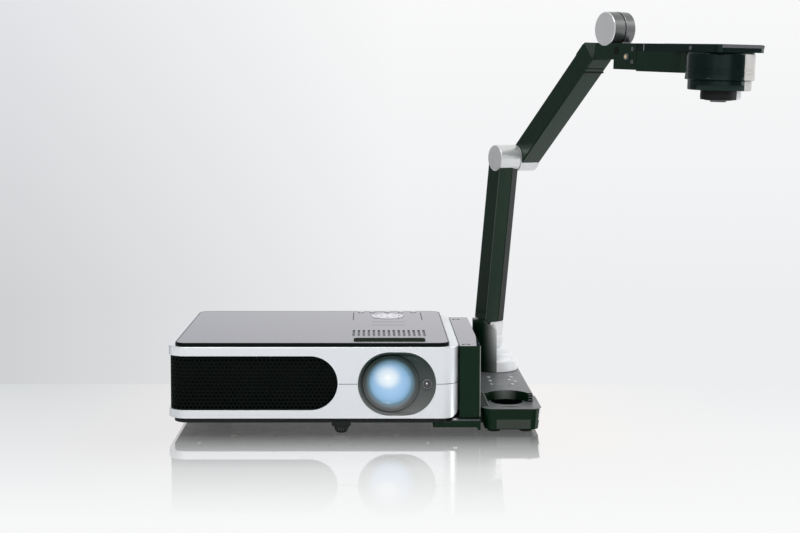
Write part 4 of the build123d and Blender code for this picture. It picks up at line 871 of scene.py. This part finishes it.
# Camera head and its arm: side faces, depths below the hinge and the camera's own axis
HEAD_SIDE = 8.0
HEAD_MID = 20.6
HEAD_AXIS = 168.5
ARM_TOP = -14.7
BODY_TOP = -23.0
TIER_TOP = -47.4
FOCUS_TOP = -57.6


def head_block(name, low, high, material, body="head_arm", bevel=0.05):
    return block(name, low, high, material, body, HEAD, bevel)


def head_screw(name, place, r, height, slot):
    """Dark screw in a left-hand face."""
    return screw(name, HEAD @ Vector(place), -ACROSS, r, height, HEAD.col[1].xyz, "head_arm", rim_dark,
                 slot)


def head_turned(name, profile, top, material, slot="gloss_black", body="head_arm", steps=96):
    """Lathe piece on the camera's axis, from a height down."""
    centre = (HEAD_MID, HEAD_AXIS, top)
    return turned(name, profile, centre, (0, 0, 1), material, slot, body, HEAD, steps)


# Joint line, pale tick, lamp trim, inspection square and screws of the head arm
head_block("head_joint_line", (HEAD_SIDE - 0.12, 55.6, ARM_TOP - 26.9),
           (HEAD_SIDE + 0.4, 56.6, ARM_TOP - 0.1), dark_hole)
head_block("head_tick", (HEAD_SIDE - 0.15, 67.4, ARM_TOP - 7.3), (HEAD_SIDE + 0.4, 68.4, ARM_TOP - 0.3),
           rim_grey)
turned("head_lamp_trim", [(3.7, 0.0), (3.7, 1.0), (3.3, 1.75), (2.4, 1.85), (1.9, 1.6), (1.8, 1.2)],
       (HEAD_SIDE, 40.0, -28.5), (-1, 0, 0), rim_dark, "black_arm", "head_arm", HEAD, 32)
head_block("head_square", (HEAD_SIDE - 0.25, 18.5, ARM_TOP - 11.5), (HEAD_SIDE + 0.5, 26.0, ARM_TOP - 4.0),
           dark_hole, bevel=0.1)
for number, drop in enumerate((6.0, 19.0), 1):
    head_screw(f"head_screw_{number}", (HEAD_SIDE - 0.02, 49.5, ARM_TOP - drop), 2.1, 0.8, "black_arm")

# Stepped sleeve with two grooves and a lip, a narrower tier and the knurled ring
head_turned("camera_sleeve", [
    (31.0, 0.1), (31.6, -0.4), (31.9, -1.2), (31.9, -14.6), (31.3, -15.0), (31.3, -15.8),
    (31.9, -16.2), (31.9, -18.4), (31.3, -18.8), (31.3, -19.6), (31.9, -20.0), (31.9, -23.4),
    (32.2, -23.8), (32.2, -24.9), (31.6, -25.3), (29.0, -25.3),
], BODY_TOP, head_black)
head_turned("camera_tier", [
    (29.3, -0.8), (29.5, -1.2), (29.5, -9.6), (29.0, -10.4), (28.0, -10.6), (17.0, -10.6),
], TIER_TOP, head_black)
head_turned("focus_knurl", [
    (16.8, -0.3), (17.0, -0.9), (17.0, -2.2), (16.6, -2.5), (16.6, -3.0), (17.0, -3.3), (17.0, -7.4),
    (16.4, -8.6), (15.4, -9.4), (14.2, -9.5),
], FOCUS_TOP, matte, "black_plastic", "camera_focus_ring", 72)


def arc_highlight(name, section, top, start, end, steps=20):
    """Painted highlight: a pale section of (radius, height) points swept round part of the camera head."""
    loops = []
    for k in range(steps + 1):
        a = radians(start + (end - start) * k / steps)
        loops.append([
            HEAD @ Vector((*polar(HEAD_MID, HEAD_AXIS, r, a), top + h))
            for r, h in section
        ])
    return solid(name, loops, head_highlight_paint, "gloss_black", "head_arm", 30.0)


# Pale strips on the sleeve and the tier paint the highlight on the head's right side
arc_highlight("sleeve_painted_highlight", [
    (31.0, -0.5), (32.2, -0.7), (32.2, -14.8), (31.8, -15.0), (31.8, -15.8), (32.2, -16.0),
    (32.2, -18.6), (31.8, -18.8), (31.8, -19.6), (32.2, -19.8), (32.2, -23.6), (32.45, -24.0),
    (32.45, -24.9), (31.0, -25.1),
], BODY_TOP, -20.0, 86.0)
arc_highlight("tier_painted_highlight", [(28.8, -1.0), (29.8, -1.2), (29.8, -9.7), (29.2, -10.3), (28.8, -10.3)],
          TIER_TOP, -20.0, 80.0)
head_turned("head_neck", [(20.0, 0.75), (31.2, 0.75), (31.2, -0.6), (20.0, -0.6)], BODY_TOP, lid_side)
head_block("plate_edge_line", (-4.5, 199.5, -18.0), (45.7, 200.15, -15.2), rim_dark,
           bevel=0.2)
turned("barrel_gap", [(17.4, 21.95), (18.35, 22.05), (18.35, 22.95), (17.4, 23.05)], (0, 0, 0),
       (1, 0, 0), dark_hole, "satin_aluminium", "head_arm", HEAD, 72)

# Paler strip of the lower arm and a strip that paints the highlight on its edge; plate at the upper arm's
# end and a dark strip that paints the shadow under its step
for name, low, high, material, body, matrix, edge in (
    ("lower_arm_band", (-2.0, 26.5, -12.85), (4.9, 211.5, -12.3), arm_band, "lower_arm", LOWER, 0.15),
    # Light strip on the lower arm's corner: painted edge highlight
    ("lower_arm_edge_highlight", (-20.05, 26.5, -12.75), (-19.2, 211.5, -12.2), arm_band, "lower_arm", LOWER, 0.1),
    ("upper_arm_plate", (7.0, 169.3, -13.3), (7.8, 186.5, 11.4), arm_black, "upper_arm", UPPER, 0.3),
    # Dark strip under the plate's step: painted shadow
    ("upper_arm_step_shadow", (7.1, 167.2, -14.0), (33.1, 169.0, -12.5), dark_hole, "upper_arm", UPPER, 0.2),
):
    block(name, low, high, material, body, matrix, edge)

# Tab that turns the camera's ring, and the screw at the plate's corner
head_block("focus_tab", (HEAD_MID + 9.5, HEAD_AXIS + 11.0, FOCUS_TOP - 8.6),
           (HEAD_MID + 15.0, HEAD_AXIS + 14.5, FOCUS_TOP - 1.2), pale_metal,
           "camera_focus_ring", 0.5)
head_screw("plate_screw", (HEAD_MID - 29.05, 160.0, ARM_TOP - 4.0), 2.0, 0.6, "gloss_black")


# Camera base: rim beside the lens rest with a painted highlight, ribs, groove, a paler panel that paints
# the table's reflection on the tray's front, and a pale piece that paints the highlight on the rounded end
# of its tapered tray
TRAY_Z = 27.0
TRAY_TAPER = tan(radians(8.0))
REFLECTION_X = (167.5, 204.0)
REFLECTION_Z = (4.9, 15.2)
REFLECTION_OUT = 0.25
END_X = 204.5
END_Y = 2.0
END_R = 12.0
END_START = -38


def sloped(name, plan, lows, highs, material, bevel):
    """Solid over a plan, with a low and a high z for each corner."""
    loops = [[Vector((x, y, z)) for (x, y), z in zip(plan, heights)] for heights in (lows, highs)]
    return solid(name, loops, material, "gloss_black", bevel=bevel)


def tray_front(z):
    """Y of the tray's tapered front face at a height."""
    return BASE_Y + (TRAY_Z - z) * TRAY_TAPER


# Lighter slope and pale line along the rim's inner edge: painted highlight
sloped("rim_slope_highlight", [(151.4, 26.2), (156.0, 26.2), (160.0, 4.0), (151.6, 3.0)], (TRAY_Z,) * 4,
       (36.9, 36.9, TRAY_Z + 0.4, TRAY_Z + 0.4), panel_green, 0.2)
sloped("rim_highlight_line", [(155.4, 26.0), (156.3, 26.0), (160.5, 4.2), (159.5, 4.0)],
       (36.4, 36.4, TRAY_Z + 0.1, TRAY_Z + 0.1), (37.2, 37.2, TRAY_Z + 0.8, TRAY_Z + 0.8), rim_grey, 0.1)
for number in range(3):
    z = 28.6 + 3.0 * number
    block(f"horn_rib_{number + 1}", (205.2, 24.3, z), (210.2, 26.0, z + 1.4), rim_dark)
crescent = [(183.7 + 2 * t, -0.6 + 1.2 * (t / 6) ** 2) for t in range(-6, 7)]
crescent += [(183.7 + 2 * t, 2.6 - 2.0 * (t / 6) ** 2) for t in range(6, -7, -1)]
plate("tray_groove", crescent, TRAY_Z - MARK_SINK, LINE_THICK, print_dark, "gloss_black")
# Paler panel on the lower half of the tray's front: painted reflection of the table
solid("tray_painted_reflection", [
    [Vector((x, tray_front(z) + y, z)) for x, y in rect_plan(REFLECTION_X[0], -REFLECTION_OUT, REFLECTION_X[1], 1.0)]
    for z in REFLECTION_Z
], panel_green, "gloss_black")


def end_loop(z, grow):
    """Outline at a height of the pale piece that paints the highlight on the tray's rounded end: its round
    corner and a straight side.
    """
    r = END_R - (TRAY_Z - z) * TRAY_TAPER
    loop = []
    for degrees in range(END_START, 1, 2):
        loop.append(Vector((*polar(END_X, END_Y, r + grow, radians(degrees)), z)))
    side = END_X + r + grow
    loop += [Vector((x, y, z)) for x, y in ((side, 6.0), (side, 12.0), (side - 1.2, 12.0))]
    loop.append(Vector((*polar(END_X, END_Y, r - 1.5, radians(END_START)), z)))
    return loop


# Pale piece on the tray's rounded right end: painted highlight
solid("tray_end_highlight", [end_loop(13.5, 0.0), end_loop(14.0, 0.3), end_loop(26.0, 0.3), end_loop(26.5, 0.0)],
      pale_metal, "satin_aluminium", smooth=40.0)
# Pale line on the bracket's rounded edge: painted highlight
turned("bracket_edge_highlight", [(0.0, 0.0), (0.45, 0.1), (0.45, 76.6), (0.0, 76.7)],
       (BRACKET_X - 0.38, -4.45, BRACKET_Z - 77.0), (0, 0, 1), rim_grey, "gloss_black", steps=12)


# Front foot: stem and ribbed wheel
FOOT_RIBS = 18
FOOT_PROFILE = (
    (4.6, 0.0), (5.6, 0.5), (6.6, 2.0), (7.5, 4.2), (8.1, 6.6), (8.2, 8.3), (7.8, 8.8), (4.5, 8.8),
    (4.5, 51.0),
)
wheel = turned("foot_wheel", FOOT_PROFILE, (0, 0, 0), (0, 0, 1), rubber, "rubber_black", "front_foot",
               start=True, end=True)
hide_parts("front_foot")
bm = bmesh.new()
for k in range(FOOT_RIBS):
    a = 2 * pi * (k + 0.5) / FOOT_RIBS
    out = Vector((cos(a), sin(a), 0))
    side = Vector((-sin(a), cos(a), 0)) * 0.35
    loops = []
    for place, depth in ((out * 6.6 + UP * 2.4, 0.45), (out * 7.95 + UP * 6.6, 0.4)):
        loops.append([place - side, place + side, place + side + out * depth, place - side + out * depth])
    rings(bm, loops, True, True)
finish_mesh("foot_ribs", bm, rim_dark, "front_foot")


# Back: sockets with their rims and pins, frames, screws and louvres
DISPLAY_X = (40.0, -2.0)
DATA_X = -38.0
VIDEO_X = -62.0
JACK_X = -82.0
PIN_PROFILE = ((0.5, -0.05), (0.5, 0.06))
PIN_STEPS = 10


def d_loop(x, w, h, y, steps=6):
    """Outline of a display connector: wide above, narrower below, round corners."""
    half = w / 2
    cut = 0.256 * h
    r = 0.28 * h
    top = PORT_Z + h / 2
    low = PORT_Z - h / 2
    points = []
    corners = ((x + half, top), (x + half - cut, low), (x - half + cut, low), (x - half, top))
    for number, (cx, cz) in enumerate(corners):
        mx = cx + (r if cx < x else -r)
        mz = cz + (r if cz < PORT_Z else -r)
        for k in range(steps + 1):
            a = radians(90 - 90 * number - 90 * k / steps)
            points.append(Vector((mx + r * cos(a), y, mz + r * sin(a))))
    return points


for number, x in enumerate(DISPLAY_X, 1):
    solid(f"display_insert_{number}", [d_loop(x, 15.6, 6.6, PROUD_Y + out) for out in (-0.1, 0.35)],
          data_blue, "inner_grey")
    bm = bmesh.new()
    for row in range(3):
        for k in range(5):
            pin_x = x + (k - 2) * 2.3 + (0.6 if row == 1 else 0.0)
            centre = Vector((pin_x, PROUD_Y + 0.35, PORT_Z + (row - 1) * 1.8))
            rings(bm, lathe(PIN_PROFILE, centre, AWAY, RIGHTWARD, PIN_STEPS), True, True)
    finish_mesh(f"display_pins_{number}", bm, dark_hole)
    solid(f"display_flange_{number}", [d_loop(x, 30.0, 12.2, BACK_Y + out) for out in (-0.1, 0.6)], steel,
          "steel_screw", bevel=0.2)
    for side, word in ((-1, "right"), (1, "left")):
        screw(f"display_post_{number}_{word}", (x + side * 12.4, BACK_Y + 0.5, PORT_Z), AWAY, 2.6, 4.6)

turned("video_ring", [(5.9, 0.0), (5.9, 1.0), (5.3, 1.5), (4.4, 1.6), (4.2, 1.2)],
       (VIDEO_X, BACK_Y, PORT_Z), AWAY, video_yellow, "key_pale", steps=40)
turned("video_face", [(3.3, 0.0), (3.3, 0.25), (1.75, 0.25), (1.75, 0.0)], (VIDEO_X, PROUD_Y, PORT_Z),
       AWAY, key_pale, "key_pale", steps=40)
turned("jack_ring", [(3.9, 0.0), (3.9, 0.6), (3.3, 1.0), (2.2, 1.0), (1.9, 0.6), (1.85, 0.0)],
       (JACK_X, BACK_Y, PORT_Z), AWAY, data_blue, "inner_grey", steps=36)


def mouth_frame(name, x, z, w, h, edge, out, material, slot):
    """Raised frame round a rectangular mouth in the back."""
    loops = []
    for grow, depth in ((edge, 0.0), (edge, out), (0.15, out), (0.15, -0.5)):
        plan = rect_plan(x - w / 2 - grow, z - h / 2 - grow, x + w / 2 + grow, z + h / 2 + grow)
        loops.append([Vector((px, BACK_Y + depth, pz)) for px, pz in plan])
    return solid(name, loops, material, slot, bevel=0.15, start=False, end=False)


mouth_frame("data_frame", DATA_X, PORT_Z, 8.5, 7.8, 1.0, 0.5, steel, "steel_screw")
block("data_tongue", (DATA_X - 2.6, BACK_Y - 11.5, PORT_Z - 1.5),
      (DATA_X + 2.6, BACK_Y - 1.5, PORT_Z + 1.5), inner, bevel=0.3)
INLET_X, _, INLET_Z = middle_of("ac_inlet")
PANEL_MID_Z = middle_of("back_panel")[2]
mouth_frame("inlet_frame", INLET_X, INLET_Z, 24.2, 16.4, 1.2, 0.6, matte, "black_plastic")
mouth_frame("panel_frame", MID_X, PANEL_MID_Z, 233.0, 53.0, 0.8, 0.25, rim_dark, "black_plastic")
for number, (x, z) in enumerate(((-113, 24), (-113, -24), (113, 24), (113, -24)), 1):
    screw(f"panel_screw_{number}", (MID_X + x, BACK_Y - 0.05, PANEL_MID_Z + z), AWAY, 2.3, 0.9)
bm = bmesh.new()
for k in range(12):
    x = INLET_X - 15.0 + 5.0 * k
    add_box(bm, (x, BACK_Y - 0.3, 62.5), (x + 2.4, BACK_Y + 0.08, 78.5))
finish_mesh("panel_louvres", bm, dark_hole)


# Underside: screws and grip of the covers, metal inserts of the ceiling holes
LAMP_X, LAMP_Y, _ = middle_of("lamp_cover")
FILTER_X, FILTER_Y, _ = middle_of("filter_cover")
CEILING_Y = 112.5
CEILING_HALF = (90.0, 77.5)
door_screws = ((LAMP_X - 40, LAMP_Y), (LAMP_X + 40, LAMP_Y), (FILTER_X, FILTER_Y + 23))
for number, (x, y) in enumerate(door_screws, 1):
    screw(f"door_screw_{number}", (x, y, TRAY_BOTTOM + 0.05), -UP, 3.0, 1.2)
for number in range(3):
    y = LAMP_Y - 26 + 4 * number
    plate(f"lamp_grip_{number + 1}", bar_plan(LAMP_X - 11, y, LAMP_X + 11, y, 1.6), TRAY_BOTTOM - 0.5,
          0.6, matte, "black_plastic", bevel=0.2)
for number, (x, y) in enumerate(((-1, -1), (1, -1), (-1, 1), (1, 1)), 1):
    turned(f"ceiling_insert_{number}", [(3.4, 0.0), (3.3, 0.3), (1.9, 0.3), (1.7, -0.2)],
           (MID_X + x * CEILING_HALF[0], CEILING_Y + y * CEILING_HALF[1], TRAY_BOTTOM), (0, 0, -1), gold,
           "steel_screw", steps=32)


# Camera as solved from the photograph, in metres and degrees
CAMERA_PLACE = (0.032, -1.425, 0.3487)
CAMERA_DIP = 3.4
CAMERA_LENS = 59.89
CAMERA_SENSOR = 36.0
CAMERA_SHIFT = (0.03625, -0.0974)
camera_data = bpy.data.cameras.new("camera")
camera = placed("camera", camera_data)
camera.location = CAMERA_PLACE
camera.rotation_euler = (radians(90 - CAMERA_DIP), 0, 0)
camera_data.sensor_width = CAMERA_SENSOR
camera_data.lens = CAMERA_LENS
camera_data.shift_x, camera_data.shift_y = CAMERA_SHIFT
scene.camera = camera
scene.view_settings.view_transform = "Standard"

# Soft rectangular lamps, in metres and watts: place, target, width, height and power
LAMPS = {
    "key": ((-0.5, -1.2, 1.9), (0, 0, 0.1), 1.4, 1.0, 14.0),
    "right": ((1.9, -0.2, 0.9), (0.2, 0, 0.2), 0.9, 1.4, 9.0),
}
for name, (place, target, width, height, power) in LAMPS.items():
    data = bpy.data.lights.new(name, "AREA")
    data.shape = "RECTANGLE"
    data.size = width
    data.size_y = height
    data.energy = power
    lamp = placed(name, data)
    lamp.location = place
    lamp.rotation_euler = (Vector(target) - Vector(place)).to_track_quat("-Z", "Y").to_euler()

# Studio cards that reflections see, by compass angle from +Y towards +X
CARDS = (
    (-180, 0.96), (-152, 0.92), (-132, 0.45), (-112, 0.33), (-40, 0.33), (-26, 0.95), (26, 1.0),
    (38, 1.15), (76, 1.15), (96, 1.0), (107, 0.40), (122, 0.22), (138, 0.22), (152, 0.30),
    (166, 0.90), (180, 0.96),
)
CEILING_CARD = (0.9, 0.9, 0.9)
CEILING_RISE = (0.45, 0.8)
SKY_LIGHT = {"Color": (0.965, 0.98, 1.0), "Strength": 0.64}
BACKDROP_ACROSS = (-0.26, 0.02)
BACKDROP_RISE = (-0.14, 0.12)


def fill_world():
    """Even light, and a backdrop that reflections see through the studio cards."""
    world = bpy.data.worlds.new("world")
    scene.world = world
    sky = Tree(world, "Generated")
    rays = sky.add("LightPath").outputs
    reflected = sky.number("MAXIMUM", rays["Is Glossy Ray"], rays["Is Transmission Ray"])
    seen = sky.number("MAXIMUM", rays["Is Camera Ray"], reflected)
    to_right = sky.share(sky.axis("X"), *BACKDROP_ACROSS)
    upward = sky.share(sky.axis("Z"), *BACKDROP_RISE)
    low = sky.mix(to_right, (0.630, 0.640, 0.655), (0.845, 0.855, 0.870))
    high = sky.mix(to_right, (0.790, 0.800, 0.825), (0.965, 0.965, 0.965))
    backdrop = sky.mix(upward, low, high)
    angle = sky.number("ADD", sky.number("ARCTAN2", sky.axis("X"), sky.axis("Y")), pi)
    stops = [((degrees + 180) / 360, level) for degrees, level in CARDS]
    cards = sky.ramp(sky.number("DIVIDE", angle, 2 * pi), stops)
    overhead = sky.share(sky.axis("Z"), *CEILING_RISE)
    dimmed = sky.mix(reflected, backdrop, sky.mix(overhead, cards, CEILING_CARD), "MULTIPLY")
    light = sky.add("Background", SKY_LIGHT)
    shown = sky.add("Background", {"Color": dimmed})
    both = sky.add("MixShader", {"Fac": seen, 1: light, 2: shown})
    sky.add("OutputWorld", {"Surface": both})


fill_world()

# Table: its mirror image fades over a distance from the object's outline, in metres
TABLE_LOW = (-4000, -4000, -20)
TABLE_HIGH = (4000, 251, 0)
FADE_MIDDLE = (-0.02, -0.10, 0.0)
FADE_HALF = (0.207, 0.115, 0.0)
FADE_REACH = 0.30
FADE_STOPS = ((0.0, 0.88), (0.06, 0.80), (0.2, 0.56), (0.45, 0.23), (0.77, 0.07), (1.0, 0.0))
SHOWN_SHARE = 0.8
TONE_ACROSS = (-0.36, 0.0)
TONE_NEARER = (0.25, -0.32)


def table_material():
    """White gloss table whose mirror image fades away from the object."""
    tree = tree_of("table_top")
    place = tree.add("Mapping", {"Vector": tree.coord, "Location": FADE_MIDDLE})
    past = tree.vector("SUBTRACT", tree.vector("ABSOLUTE", place), FADE_HALF)
    away = tree.vector("LENGTH", tree.vector("MAXIMUM", past, (0.0, 0.0, 0.0)))
    fade = tree.ramp(tree.share(away, 0.0, FADE_REACH), FADE_STOPS)
    mirror = tree.add("BsdfGlossy", {
        "Color": (0.97, 0.945, 0.93), "Roughness": tree.span(tree.noise(30.0), 0.03, 0.05),
    })
    white = tree.add("BsdfDiffuse", {
        "Color": tree.mix(tree.noise(8.0), (0.885, 0.89, 0.895), (0.905, 0.91, 0.915)),
    })
    # What the camera sees of the table is mostly emission with painted light, darker to the left and
    # towards the back
    to_right = tree.share(tree.axis("X"), *TONE_ACROSS)
    nearer = tree.share(tree.axis("Y"), *TONE_NEARER)
    left = tree.mix(nearer, (0.66, 0.68, 0.69), (0.955, 0.96, 0.96))
    right = tree.mix(nearer, (0.865, 0.875, 0.885), (0.97, 0.97, 0.97))
    bright = tree.add("Emission", {"Color": tree.mix(to_right, left, right)})
    seen = tree.number("MULTIPLY", tree.add("LightPath").outputs["Is Camera Ray"], SHOWN_SHARE)
    top = tree.add("MixShader", {"Fac": seen, 1: white, 2: bright})
    both = tree.add("MixShader", {"Fac": fade, 1: top, 2: mirror})
    tree.add("OutputMaterial", {"Surface": both})
    return tree.owner


bm = bmesh.new()
add_box(bm, TABLE_LOW, TABLE_HIGH)
meshed("table", bm, table_material())
